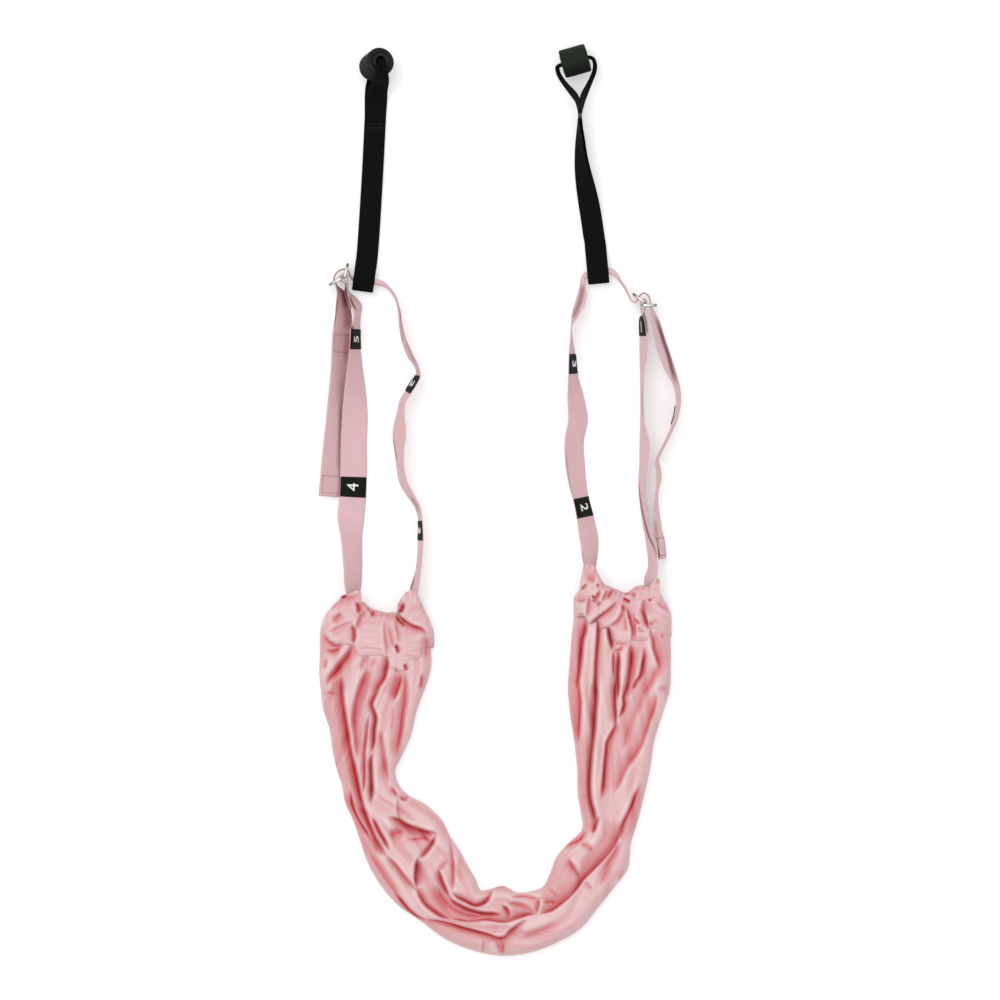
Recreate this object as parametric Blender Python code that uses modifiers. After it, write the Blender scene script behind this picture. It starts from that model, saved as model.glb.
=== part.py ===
"""Yoga sling with two door anchors, laid out flat on its back.

A U of gathered satin hangs from two loops of adjustable webbing. Each loop runs
through a gathered casing of the sling, through the fold of a door anchor and
through a pair of D-rings. An anchor is a loop of webbing threaded through a foam
roll, which stops behind a closed door.

Metres, +Z up, +Y towards the door anchors, origin under the middle of the whole.
Tables of places are in millimetres.
"""

import math

import bmesh
import bpy
import numpy as np
from mathutils import Matrix, Vector

MM = 0.001

# Adjustable webbing of the sling's two loops
WEBBING_WIDTH = 0.038
WEBBING_THICKNESS = 0.0016
BUNDLE_DIAMETER = 0.009
FLAP_LENGTH = 0.042
FLAP_GAP = 0.0014
STRAP_LIFT = 0.0006

# Door anchor webbing, which is doubled
ANCHOR_WIDTH = 0.030
ANCHOR_THICKNESS = 0.002
ANCHOR_LAYER_GAP = 0.0010
ANCHOR_FOLDED_WIDTH = 0.011
ANCHOR_FOLDED_THICKNESS = 0.0055
ANCHOR_FOLD_RUN = 0.034
ANCHOR_FOLD_SETBACK = 0.0085
BUNDLE_CLEARANCE = 0.0012

# Foam roll on its core tube
ROLL_LENGTH = 0.038
ROLL_DIAMETER = 0.040
ROLL_EDGE = 0.002
CORE_DIAMETER = 0.025
CORE_BORE = 0.0145
CORE_PROUD = 0.0005
SEAT_GAP = 0.0003
ROLL_SIDES = 28

# D-rings
RING_WIRE = 0.004
RING_DEPTH = 0.018
RING_ROOM = 0.002
RING_STRAP_GAP = 0.0008

# Number tags sewn on the webbing
LABEL_LENGTH = 0.028
LABEL_THICKNESS = 0.0006
LABEL_GAP = 0.0006

# Sling panel and its gathered casings
PANEL_THICKNESS = 0.0016
PANEL_FOLDS = 5
PANEL_HEIGHT = 0.032
PANEL_FOLD_DEPTH = 0.012
PANEL_EDGE_INSET = 0.04
PANEL_FOLD_WAVER = 0.016
PANEL_BACK_EDGE = 0.93
PANEL_FIRST_FOLD = 0.95
POUCH_SETBACK = 0.44
POUCH_SPREAD = 0.16
POUCH_SINK = 0.25
POUCH_FLATTENING = 0.45
CASING_HEIGHT = 0.030
CASING_AXIS_HEIGHT = 0.014
CASING_EDGE_ROUNDING = 0.004
TUNNEL_CLEARANCE = 0.0012
TUNNEL_OVERRUN = 0.004
TUNNEL_SIDES = 20
CASING_GAP = 0.0005

STRAP_STEPS = 2
ANCHOR_STEPS = 3
UP = Vector((0.0, 0.0, 1.0))

# Rows of a straight stretch, as shares of its half length; the outer pairs keep it straight
STRAIGHT_SHARES = (-1.0, -0.75, 0.0, 0.75, 1.0)

ANCHOR_FOLD_RADIUS = BUNDLE_DIAMETER / 2 + BUNDLE_CLEARANCE + ANCHOR_THICKNESS / 2
BUNDLE_HEIGHT = ANCHOR_THICKNESS / 2 + ANCHOR_FOLD_RADIUS
RING_HEIGHT = WEBBING_WIDTH + RING_ROOM + RING_WIRE
RING_CENTRE = RING_HEIGHT / 2 + RING_WIRE / 2 + STRAP_LIFT
BAR_LOOP_RADIUS = RING_WIRE / 2 + RING_STRAP_GAP + WEBBING_THICKNESS / 2

COLOURS = {
    "webbing": ((0.72, 0.47, 0.50, 1.0), 0.6, 0.0),
    "anchor": ((0.012, 0.014, 0.012, 1.0), 0.7, 0.0),
    "foam": ((0.035, 0.044, 0.032, 1.0), 0.85, 0.0),
    "core": ((0.030, 0.032, 0.028, 1.0), 0.5, 0.0),
    "steel": ((0.70, 0.69, 0.66, 1.0), 0.22, 1.0),
    "label": ((0.018, 0.020, 0.016, 1.0), 0.7, 0.0),
    "satin": ((0.72, 0.36, 0.39, 1.0), 0.38, 0.0),
}

# Each strap's legs as rows of x, y and the lean of the webbing from flat, in degrees.
# A negative lean lifts the edge on the right of the way that the row's leg runs.
LEFT = {
    "bars": {"inner": (-217.5, 311.8), "outer": (-222.1, 309.8)},
    "ring_ways": {"inner": (0.233, 0.972), "outer": (-0.876, -0.483)},
    "bar_turn": [
        ("outer", 225), ("outer", 180), ("outer", 130),
        ("inner", 100), ("inner", 60), ("inner", 12),
    ],
    "main_start": [
        (-213.8, 302, 22.6, -88, 38, 1.6),
        (-213.0, 291, 20.8, -86, 38, 1.6),
    ],
    "main": [
        (-209.5, 281, -83), (-205, 269, -80), (-202.5, 255, -76), (-202.5, 238, -69),
        (-203, 214, -66), (-203, 188, -56), (-203, 162, -43), (-203, 139, -30),
        (-203.5, 115, -17), (-205, 76, -12), (-205, 44, -9), (-206.5, -1, -9),
        (-208.5, -22, -9), (-208, -50, -36), (-206, -96, -46), (-206, -126, -55),
    ],
    "casing_in": [
        (-206, -142, 15.5, -62, 24, 3.0),
        (-202.5, -156.5, 14, -75, 13, 6.5),
    ],
    "casing_out": [
        (-128, -157.5, 14, -75, 13, 6.5),
        (-122, -144, 16.5, -72, 26, 2.8),
    ],
    "back": [
        (-120, -126, -71), (-114, -96, -79), (-111, -57, -79), (-111, -34, -82),
        (-115, -12, -79), (-127, 9, -75), (-136, 26, -73), (-139.5, 45, -74),
        (-141, 66, -70), (-141, 92, -60), (-139, 122, -74), (-136, 138, -77),
        (-129, 149.5, -77), (-121.5, 161.5, -76), (-114.5, 174, -80), (-117, 187, -82),
        (-126, 202, -78), (-134, 222, -80), (-139, 244, -84),
    ],
    "to_bundle": [
        (-141.5, 266, 17.5, -86, 34, 1.8),
        (-147, 284, 13.5, -86, 24, 2.6),
        (-157, 297, 10, -86, 15, 4.4),
        (-166, 302.8, 8, -86, 10.5, 7.2),
    ],
    "threaded": [
        (-207.2, 310.3, 9.2, -88, 12, 4.4),
        (-210.0, 313.3, 12.6, -88, 17, 3.0),
        (-211.3, 317.6, 16.4, -88, 21, 2.2),
        (-213.6, 320.8, 19.4, -88, 24, 1.8),
        (-217.2, 322.2, 20.6, -88, 26, 1.8),
        (-221.8, 321.8, 21.6, -88, 28, 1.8),
        (-227.0, 319.0, 22.8, -88, 29, 1.6),
        (-231.0, 314.4, 23.6, -88, 30, 1.6),
        (-232.5, 309.5, 24.0, -88, 30, 1.6),
        (-231.2, 304.8, 24.0, -88, 30, 1.6),
        (-228.8, 299.0, 23.0, -86, 32, 1.6),
        (-226.2, 289, 20.6, -80, 35, 1.6),
    ],
    "tail": [
        (-224.3, 275, -72), (-223.5, 254, -64), (-225, 230, -58), (-225.5, 202, -55),
        (-227.5, 170, -57), (-231, 139, -58), (-233.5, 108, -56), (-237, 62, -51),
        (-239.5, 22, -46), (-240.5, 4, -44),
    ],
    "bundle": ((-190.6, 307.2), (0.991, -0.130)),
    "bundle_reach": 13.0,
    "labels": [
        ("main", (-203, 224)), ("main", (-205.6, 18)), ("back", (-121, 162)), ("back", (-111, -44)),
    ],
    "tunnel": (-193.5, -136.5, -163.1),
}

RIGHT = {
    "bars": {"inner": (201.6, 276.5), "outer": (200.2, 271.9)},
    "ring_ways": {"inner": (-0.8, 0.6), "outer": (1.0, 0.0)},
    "bar_turn": [
        ("outer", -20), ("outer", 10), ("inner", 25), ("inner", 75), ("inner", 120),
        ("inner", 165), ("outer", 192),
    ],
    "main_start": [
        (198.6, 261, 20.8, 86, 38, 1.6),
    ],
    "main": [
        (199.4, 250, 80), (200.5, 233, 76), (201, 211, 73), (199, 176, 82),
        (199, 111, 83), (203, 74, 68), (202, 48, 73), (201, 22, 75), (203.5, -26, 75),
        (211, -62, 71), (213.5, -94, 66), (212, -114, 62),
    ],
    "casing_in": [
        (210.5, -130, 15.5, 66, 24, 3.0),
        (206, -143, 14, 78, 13, 6.5),
    ],
    "casing_out": [
        (131.5, -143, 14, 78, 13, 6.5),
        (127, -129, 16.5, 72, 26, 2.8),
    ],
    "back": [
        (126, -94, 64), (125, -59, 47), (120, -29, 50), (113, 2, 54), (108, 27, 48),
        (105, 52, 44), (104, 82, 45), (107, 111, 42), (105, 141, 55), (102, 173, 68),
        (101, 202, 76),
    ],
    "to_bundle": [
        (100, 226, 18.6, 86, 37, 1.6),
        (101, 243, 18.0, 90, 34, 1.8),
        (106.5, 261, 16.0, 90, 29, 2.2),
        (111.5, 277, 13.5, 90, 23, 2.8),
        (113.0, 291, 11.5, 90, 18, 3.8),
        (112.5, 303, 9.2, 90, 12.5, 5.6),
        (115.5, 311.5, 7.8, 90, 9.8, 7.6),
    ],
    "threaded": [
        (160.5, 316.5, 8.6, 88, 11.5, 6.4),
        (168.5, 306, 11.5, 84, 17, 3.2),
        (175.5, 295.5, 14.8, 84, 22, 2.2),
        (180, 286.5, 17.0, 86, 24, 1.8),
        (183.6, 279, 18.6, 88, 25, 1.8),
        (188.4, 275.8, 19.8, 88, 25, 1.8),
        (191.8, 278.6, 20.6, 88, 26, 1.8),
        (194.0, 282.6, 21.2, 88, 27, 1.8),
        (197.2, 287, 22.0, 88, 28, 1.6),
        (202.5, 289, 23.0, 88, 29, 1.6),
        (207.6, 285.6, 23.8, 88, 30, 1.6),
        (210.2, 279.3, 24.2, 89, 30, 1.6),
        (210.8, 271.9, 24.2, 92, 30, 1.6),
        (211.8, 262, 22.2, 96, 34, 1.6),
    ],
    "tail": [
        (214, 252, 103), (218, 235, 107), (224.5, 214, 110), (235, 187, 109),
        (244.5, 163, 106), (249, 149, 102), (249.5, 134, 100), (246, 114, 98),
        (235, 89, 98), (224.5, 65, 101), (221.5, 38, 104), (220, 13, 106),
        (219.5, -8, 106), (221, -31, 106), (225, -59, 106), (227, -83, 104),
    ],
    "bundle": ((137.0, 318.0), (0.984, 0.179)),
    "bundle_reach": 14.0,
    "labels": [
        ("main", (200.6, 243)), ("back", (103.5, 188)), ("back", (115.5, -10)), ("tail", (246.5, 117)),
    ],
    "tunnel": (196.5, 140.5, -149.1),
}

# Left door anchor: how the doubled webbing lies, and the way up the leaning roll
LEFT_ANCHOR = {
    "way": (0.135, 0.991),
    "pair": [(-179, 447, 0), (-175.2, 521, 0), (-174.5, 535, 0)],
    "roll": ((-172.9, 609.0, 25.7), (0.332, 0.258, 0.907)),
    "lower_in": [
        (-174.5, 562, 1.3, 30, 2.0),
        (-176.5, 577, 2.9, 24, 2.6),
        (-178.4, 588, 3.5, 16, 4.0),
        (-179.3, 596, 4.6, 12, 5.0),
        (-179.8, 601.2, 6.2, 11, 5.5),
    ],
    "upper_out": [
        (-165.2, 614.7, 46.9, 12, 4.6),
        (-165.0, 611.4, 51.0, 13, 4.2),
        (-165.1, 604.5, 52.4, 15, 4.0),
        (-165.2, 596.5, 52.0, 18, 3.4),
        (-165.6, 590.0, 48.6, 21, 3.0),
        (-167.2, 584.2, 38.0, 24, 2.5),
        (-169.2, 578.2, 24.0, 26, 2.3),
        (-171.4, 570.2, 11.0, 28, 2.0),
        (-172.8, 560.0, 4.6, 30, 2.0),
    ],
    "across": (0.943, -0.091, -0.319),
    "across_flat": (1.0, 0.0, 0.0),
}

# Right door anchor: the webbing turns on edge and its two layers part to the roll's ends
RIGHT_ANCHOR = {
    "way": (-0.092, 0.996),
    "pair": [
        (133.2, 359, 0), (131.6, 368, 2), (128.6, 389, 5), (125.2, 410, 13), (121.8, 429, 25),
        (118.4, 447, 37), (115.4, 465, 49), (113.4, 483, 60), (112.5, 503, 70), (112, 519, 80),
        (112, 530, 86), (112, 541, 90),
    ],
    "roll": ((105.0, 613.9, 20.2), (0.963, 0.270, 0.0)),
    "lower_in": [
        (116.3, 562, 16.5, 28, 2.2),
        (121.6, 575, 18.0, 22, 2.8),
        (127.2, 587, 19.3, 16, 4.0),
        (131.6, 598, 20.2, 12, 5.2),
        (133.0, 608.5, 20.2, 11, 5.5),
        (130.0, 617.0, 20.2, 11, 5.5),
    ],
    "upper_out": [
        (80.6, 605.2, 20.2, 11, 5.5),
        (81.8, 597.0, 20.2, 11.5, 5.2),
        (86.2, 588.5, 20.0, 13, 4.8),
        (93.0, 579.5, 19.0, 19, 3.4),
        (101.8, 569.0, 17.6, 25, 2.4),
        (108.4, 558.5, 16.2, 28, 2.1),
    ],
    "across": (0.0, 0.0, 1.0),
    "across_flat": (0.0, 0.0, 1.0),
}

# The sling panel between its outer edge and its inner edge, from the left casing round
PANEL = [
    ((-253, -243), (-97, -237)), ((-251, -267), (-105, -264)), ((-248, -292), (-116, -293)),
    ((-239, -321), (-125, -330)), ((-234, -354), (-137, -358)), ((-228, -379), (-147, -380)),
    ((-221, -401), (-140, -402)), ((-217, -424), (-126, -415)), ((-207, -446), (-105, -426)),
    ((-196, -477), (-81, -449)), ((-188, -502), (-70, -471)), ((-172, -533), (-56, -492)),
    ((-146, -565), (-45, -513)), ((-111, -590), (-35, -530)), ((-77, -615), (-27, -547)),
    ((-35, -632), (-13, -545)), ((4, -638.5), (4, -541)), ((42, -634), (24, -550)),
    ((78, -621), (45, -548)), ((112, -601), (60, -542)), ((139, -569), (70, -523)),
    ((162, -540), (80, -499)), ((179, -516), (95, -482)), ((183, -482), (115, -461)),
    ((193, -449), (113, -438)), ((200, -421), (109, -415)), ((210, -377), (108, -379)),
    ((216, -337), (104, -340)), ((228, -298), (98, -299)), ((238, -264), (95, -264)),
    ((239, -234), (97, -234)), ((239, -206), (99, -206)),
]

# Each casing as rows of x, top edge y and height share, across its gathers
LEFT_CASING = [
    (-252, -172, 0.45), (-247, -152, 0.80), (-240, -143, 1.00), (-233, -136, 0.90),
    (-226, -134, 1.00), (-222.5, -140, 0.80), (-221, -188, 0.70), (-213, -190, 0.95),
    (-205, -188, 0.65), (-197, -190, 0.95), (-192.5, -186, 0.80), (-191, -153, 0.85),
    (-184, -150, 1.00), (-176, -153, 0.80), (-168, -155, 1.00), (-160, -156, 0.80),
    (-152, -157, 1.00), (-145, -158, 0.85), (-139.5, -156, 0.95), (-138, -186, 0.80),
    (-131, -190, 0.98), (-124, -188, 0.70), (-116, -188, 0.90), (-110.5, -186, 0.80),
    (-109, -146, 0.90), (-104, -142, 1.00), (-98, -154, 0.85), (-94, -164, 0.65),
]
RIGHT_CASING = [
    (98, -150, 0.45), (102, -118, 0.80), (107, -100, 1.00), (111.5, -98, 0.85),
    (113, -172, 0.70), (120, -175, 0.95), (127, -173, 0.65), (134, -175, 0.95),
    (139.5, -171, 0.80), (141.5, -120, 0.85), (148, -117, 1.00), (155, -122, 0.80),
    (162, -126, 1.00), (169, -128, 0.80), (176, -130, 1.00), (183, -127, 0.80),
    (190, -123, 1.00), (195, -120, 0.85), (196.5, -171, 0.80), (203, -175, 0.95),
    (210, -173, 0.65), (217, -175, 0.95), (225.5, -172, 0.80), (227, -120, 0.85),
    (231, -122, 1.00), (235, -130, 0.85), (238, -142, 0.65),
]


def clear_scene():
    for thing in list(bpy.data.objects):
        bpy.data.objects.remove(thing, do_unlink=True)


def make_collection(name):
    collection = bpy.data.collections.new(name)
    bpy.context.scene.collection.children.link(collection)
    return collection


def make_material(name, kind):
    colour, roughness, metallic = COLOURS[kind]
    material = bpy.data.materials.new(name)
    material.use_nodes = True
    shader = material.node_tree.nodes["Principled BSDF"]
    shader.inputs["Base Color"].default_value = colour
    shader.inputs["Roughness"].default_value = roughness
    shader.inputs["Metallic"].default_value = metallic
    return material


def add_object(name, data, kind, collection):
    thing = bpy.data.objects.new(name, data)
    data.materials.append(make_material(name, kind))
    collection.objects.link(thing)
    return thing


def hang_on_pivot(name, place, things, collection):
    """Parents things to an empty on their joint's axis, and leaves them where they are."""
    pivot = bpy.data.objects.new(name, None)
    pivot.location = place
    collection.objects.link(pivot)
    for thing in things:
        thing.parent = pivot
        thing.matrix_parent_inverse = Matrix.Translation(-Vector(place))


def across_at(way, lean):
    """The way over the webbing's width, where it runs along way and leans from flat."""
    left = Vector((-way[1], way[0], 0.0)).normalized()
    angle = math.radians(lean)
    return left * math.cos(angle) + UP * math.sin(angle)


def resting_height(width, thickness, lean):
    angle = math.radians(lean)
    return (width * abs(math.sin(angle)) + thickness * abs(math.cos(angle))) / 2 + STRAP_LIFT


def row(place, across, width, thickness):
    return [*place, *across, width, thickness]


def way_along(points, i):
    before = points[max(i - 1, 0)]
    after = points[min(i + 1, len(points) - 1)]
    return (after[0] - before[0], after[1] - before[1])


def lying_rows(leg):
    """Rows for a leg that rests on the surface on its lower edge."""
    rows = []
    for i, (x, y, lean) in enumerate(leg):
        height = resting_height(WEBBING_WIDTH, WEBBING_THICKNESS, lean)
        across = across_at(way_along(leg, i), lean)
        rows.append(row((x * MM, y * MM, height), across, WEBBING_WIDTH, WEBBING_THICKNESS))
    return rows


def placed_rows(leg):
    """Rows of x, y, z, lean, width and thickness for where the webbing is crumpled."""
    rows = []
    for i, (x, y, z, lean, width, thickness) in enumerate(leg):
        across = across_at(way_along(leg, i), lean)
        rows.append(row((x * MM, y * MM, z * MM), across, width * MM, thickness * MM))
    return rows


def knot_after(knot, a, b):
    """The next knot of a centripetal curve, which doesn't overshoot where places are uneven."""
    return knot + math.sqrt(max(np.linalg.norm(b[:3] - a[:3]), MM * MM))


def between(a, b, c, d, share):
    """A row on the smooth curve through four rows, at a share of the way from b to c."""
    ta = 0.0
    tb = knot_after(ta, a, b)
    tc = knot_after(tb, b, c)
    td = knot_after(tc, c, d)
    t = tb + (tc - tb) * share
    ab = (a * (tb - t) + b * (t - ta)) / (tb - ta)
    bc = (b * (tc - t) + c * (t - tb)) / (tc - tb)
    cd = (c * (td - t) + d * (t - tc)) / (td - tc)
    abc = (ab * (tc - t) + bc * (t - ta)) / (tc - ta)
    bcd = (bc * (td - t) + cd * (t - tb)) / (td - tb)
    return (abc * (tc - t) + bcd * (t - tb)) / (tc - tb)


def smooth(rows, steps, closed):
    """The rows again with more between them, on one smooth curve."""
    table = np.array(rows)
    count = len(table)
    if closed:
        padded = np.vstack([table[-1:], table, table[:2]])
    else:
        padded = np.vstack([2 * table[0] - table[1], table, 2 * table[-1] - table[-2]])
    result = []
    for i in range(count if closed else count - 1):
        a, b, c, d = padded[i:i + 4]
        result.extend(between(a, b, c, d, step / steps) for step in range(steps))
    if not closed:
        result.append(table[-1])
    return np.array(result)


def frames(table, closed):
    """For each row its place, across, normal, width and thickness."""
    found = []
    count = len(table)
    for i in range(count):
        if closed:
            before, after = table[i - 1], table[(i + 1) % count]
        else:
            before, after = table[max(i - 1, 0)], table[min(i + 1, count - 1)]
        way = Vector(after[:3] - before[:3]).normalized()
        across = Vector(table[i][3:6]).normalized()
        normal = way.cross(across).normalized()
        found.append((Vector(table[i][:3]), across, normal, table[i][6], table[i][7]))
    return found


def section(frame):
    """Six points round the webbing: flat faces with a soft edge on each side."""
    place, across, normal, width, thickness = frame
    corner = min(thickness / 2, width / 4)
    flat = width / 2 - corner
    return [
        place + across * width / 2,
        place + across * flat + normal * thickness / 2,
        place - across * flat + normal * thickness / 2,
        place - across * width / 2,
        place - across * flat - normal * thickness / 2,
        place + across * flat - normal * thickness / 2,
    ]


def loft(name, sections, closed, kind, collection):
    """A closed body through sections of the same number of points."""
    mesh = bmesh.new()
    rings = [[mesh.verts.new(point) for point in points] for points in sections]
    count = len(rings[0])
    for i in range(len(rings) if closed else len(rings) - 1):
        near, far = rings[i], rings[(i + 1) % len(rings)]
        for k in range(count):
            mesh.faces.new((near[k], near[(k + 1) % count], far[(k + 1) % count], far[k]))
    if not closed:
        for k in range(count // 2 - 1):
            corners = (k, k + 1, count - 2 - k, count - 1 - k)
            mesh.faces.new([rings[0][c] for c in corners[::-1]])
            mesh.faces.new([rings[-1][c] for c in corners])
    bmesh.ops.triangulate(mesh, faces=mesh.faces[:])
    bmesh.ops.recalc_face_normals(mesh, faces=mesh.faces[:])
    data = bpy.data.meshes.new(name)
    mesh.to_mesh(data)
    mesh.free()
    return add_object(name, data, kind, collection)


def bar_rows(side):
    """The sewn end's turn round both straight bars of the D-rings."""
    points = []
    for bar, degrees in side["bar_turn"]:
        angle = math.radians(degrees)
        x, y = side["bars"][bar]
        points.append((
            x * MM + BAR_LOOP_RADIUS * math.cos(angle),
            y * MM + BAR_LOOP_RADIUS * math.sin(angle),
        ))
    lean = side["main_start"][0][3]
    rows = []
    for i, (x, y) in enumerate(points):
        across = across_at(way_along(points, i), math.copysign(90, lean))
        rows.append(row((x, y, RING_CENTRE), across, WEBBING_WIDTH, WEBBING_THICKNESS))
    return rows


def flap_rows(leg):
    """The sewn end beside the start of the leg that it is stitched to, as long as the flap."""
    done = 0.0
    rows = []
    found = frames(leg, False)
    for i, (place, across, normal, width, thickness) in enumerate(found):
        if i:
            done += (place - found[i - 1][0]).length
        if done > FLAP_LENGTH:
            break
        beside = place - normal * (thickness + FLAP_GAP)
        rows.append(row(beside, across, width, thickness))
    return rows[::-1]


def bundle_rows(side, direction):
    """The straight gathered stretch through the anchor's fold, along its hinge axis."""
    (x, y), (ux, uy) = side["bundle"]
    across = across_at((ux * direction, uy * direction), side["main_start"][0][3])
    rows = []
    for share in STRAIGHT_SHARES:
        reach = share * direction * side["bundle_reach"]
        place = ((x + ux * reach) * MM, (y + uy * reach) * MM, BUNDLE_HEIGHT)
        rows.append(row(place, across, BUNDLE_DIAMETER, BUNDLE_DIAMETER))
    return rows


def tunnel_rows(side):
    start, end, y = side["tunnel"]
    across = across_at((end - start, 0.0), side["casing_in"][-1][3])
    rows = []
    for share in STRAIGHT_SHARES:
        x = (start + end) / 2 + share * (end - start) / 2
        place = (x * MM, y * MM, CASING_AXIS_HEIGHT)
        rows.append(row(place, across, BUNDLE_DIAMETER, BUNDLE_DIAMETER))
    return rows


def strap_parts(side, direction):
    """The strap's rows in order, and where each leg starts among them."""
    main = placed_rows(side["main_start"]) + lying_rows(side["main"])
    parts = [
        ("flap", flap_rows(np.array(main))),
        ("bars", bar_rows(side)),
        ("main", main),
        ("casing", placed_rows(side["casing_in"]) + tunnel_rows(side) + placed_rows(side["casing_out"])),
        ("back", lying_rows(side["back"])),
        ("bundle", placed_rows(side["to_bundle"]) + bundle_rows(side, direction)),
        ("threaded", placed_rows(side["threaded"])),
        ("tail", lying_rows(side["tail"])),
    ]
    starts = {}
    rows = []
    for name, found in parts:
        starts[name] = (len(rows), len(rows) + len(found))
        rows.extend(found)
    return rows, starts


def label_sections(found, first, last, middle):
    """A thin tag over one face of the webbing, centred nearest to middle."""
    places = [frame[0] for frame in found]
    along = [0.0]
    for before, after in zip(places, places[1:]):
        along.append(along[-1] + (after - before).length)
    target = Vector((middle[0] * MM, middle[1] * MM, 0.0))
    nearest = min(
        range(first, min(last, len(places))),
        key=lambda i: (Vector((places[i].x, places[i].y, 0.0)) - target).length,
    )
    start = along[nearest] - LABEL_LENGTH / 2
    end = along[nearest] + LABEL_LENGTH / 2
    stops = sorted([start, end] + [s for s in along if start < s < end])
    sections = []
    for stop in stops:
        i = min(max(np.searchsorted(along, stop) - 1, 0), len(along) - 2)
        share = (stop - along[i]) / (along[i + 1] - along[i])
        a, b = found[i], found[i + 1]
        place = a[0].lerp(b[0], share)
        across = a[1].lerp(b[1], share)
        normal = a[2].lerp(b[2], share)
        half = (WEBBING_WIDTH - WEBBING_THICKNESS) / 2
        low = WEBBING_THICKNESS / 2 + LABEL_GAP
        high = low + LABEL_THICKNESS
        sections.append([
            place + across * half + normal * low,
            place + across * half + normal * high,
            place - across * half + normal * high,
            place - across * half + normal * low,
        ])
    return sections


def make_strap(prefix, side, direction, collection):
    rows, starts = strap_parts(side, direction)
    found = frames(smooth(rows, STRAP_STEPS, False), False)
    sections = [section(f) for f in found]
    things = [loft(prefix + "_adjustable_strap", sections, False, "webbing", collection)]
    for number, (leg, middle) in enumerate(side["labels"], 1):
        first, last = (STRAP_STEPS * k for k in starts[leg])
        tag = label_sections(found, first, last, middle)
        things.append(loft(f"{prefix}_length_tag_{number}", tag, False, "label", collection))
    start, end, y = side["tunnel"]
    place = ((start + end) / 2 * MM, y * MM, CASING_AXIS_HEIGHT)
    hang_on_pivot(prefix + "_strap_pivot", place, things, collection)


def make_rings(prefix, side, collection):
    """Two D-rings whose straight bars stand side by side in the sewn end."""
    half = RING_HEIGHT / 2
    outline = [
        (0.0, -0.86), (0.0, -0.4), (0.0, 0.4), (0.0, 0.86), (0.05, 0.97), (0.16, 1.0),
        (0.42, 0.985), (0.68, 0.86), (0.88, 0.6), (0.98, 0.27), (1.0, 0.0), (0.98, -0.27),
        (0.88, -0.6), (0.68, -0.86), (0.42, -0.985), (0.16, -1.0), (0.05, -0.97),
    ]
    for which, (x, y) in side["bars"].items():
        curve = bpy.data.curves.new(f"{prefix}_{which}_d_ring", "CURVE")
        curve.dimensions = "3D"
        curve.bevel_depth = RING_WIRE / 2
        curve.bevel_resolution = 2
        spline = curve.splines.new("POLY")
        spline.points.add(len(outline) - 1)
        spline.use_cyclic_u = True
        for point, (out, up) in zip(spline.points, outline):
            point.co = (out * RING_DEPTH, 0.0, up * half, 1.0)
        ring = add_object(curve.name, curve, "steel", collection)
        way = side["ring_ways"][which]
        ring.location = (x * MM, y * MM, RING_CENTRE)
        ring.rotation_euler = (0.0, 0.0, math.atan2(way[1], way[0]))


def fold_rows(side, anchor):
    """The anchor webbing's end fold, roomy round the strap's bundle, lower layer first."""
    (x, y), _ = side["bundle"]
    ux, uy = anchor["way"]
    across = (uy, -ux, 0.0)
    gap = ANCHOR_THICKNESS + ANCHOR_LAYER_GAP
    lower = ANCHOR_THICKNESS / 2
    upper = lower + gap
    top = BUNDLE_HEIGHT + ANCHOR_FOLD_RADIUS
    run, back = ANCHOR_FOLD_RUN, ANCHOR_FOLD_SETBACK
    profile = [
        (run, upper), (0.76 * run, upper + 0.12 * top), (0.5 * run, 0.66 * top),
        (0.24 * run, 0.93 * top), (0.0, top),
    ]
    for degrees in (90, 50, 10, -30, -65, -90):
        angle = math.radians(degrees)
        profile.append((
            -back - ANCHOR_FOLD_RADIUS * math.cos(angle),
            BUNDLE_HEIGHT + ANCHOR_FOLD_RADIUS * math.sin(angle),
        ))
    profile += [(-0.65 * back, lower), (0.0, lower), (run, lower)]
    return [
        row((x * MM + ux * u, y * MM + uy * u, z), across, ANCHOR_WIDTH, ANCHOR_THICKNESS)
        for u, z in profile
    ]


def pair_rows(anchor):
    """The two layers where they lie together: lower going out, upper coming back."""
    lower, upper = [], []
    half_gap = (ANCHOR_THICKNESS + ANCHOR_LAYER_GAP) / 2
    for x, y, lean in anchor["pair"]:
        angle = math.radians(lean)
        across = Vector((math.cos(angle), 0.0, math.sin(angle)))
        normal = Vector((-math.sin(angle), 0.0, math.cos(angle)))
        stack = ANCHOR_THICKNESS + ANCHOR_LAYER_GAP / 2
        height = ANCHOR_WIDTH / 2 * math.sin(angle) + stack * math.cos(angle)
        if lean:
            height += STRAP_LIFT
        place = Vector((x * MM, y * MM, height))
        lower.append(row(place - normal * half_gap, across, ANCHOR_WIDTH, ANCHOR_THICKNESS))
        upper.append(row(place + normal * half_gap, across, ANCHOR_WIDTH, ANCHOR_THICKNESS))
    return lower, upper[::-1]


def bore_rows(anchor, direction):
    """The folded webbing straight through the roll's bore."""
    centre, axis = Vector(anchor["roll"][0]) * MM, Vector(anchor["roll"][1])
    across = Vector(anchor["across"])
    reach = ROLL_LENGTH / 2 + CORE_PROUD
    rows = []
    for share in STRAIGHT_SHARES:
        place = centre + axis * (share * direction * reach)
        rows.append(row(place, across, ANCHOR_FOLDED_WIDTH, ANCHOR_FOLDED_THICKNESS))
    return rows


def anchor_rows(anchor, key):
    """Rows between the flat stretch and the bore, the webbing turning from one to the other."""
    table = anchor[key]
    near_bore, flat = Vector(anchor["across"]), Vector(anchor["across_flat"])
    rows = []
    for i, (x, y, z, width, thickness) in enumerate(table):
        steps = i if key == "lower_in" else len(table) - 1 - i
        across = flat.lerp(near_bore, steps / len(table))
        rows.append(row((x * MM, y * MM, z * MM), across, width * MM, thickness * MM))
    return rows


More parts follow.
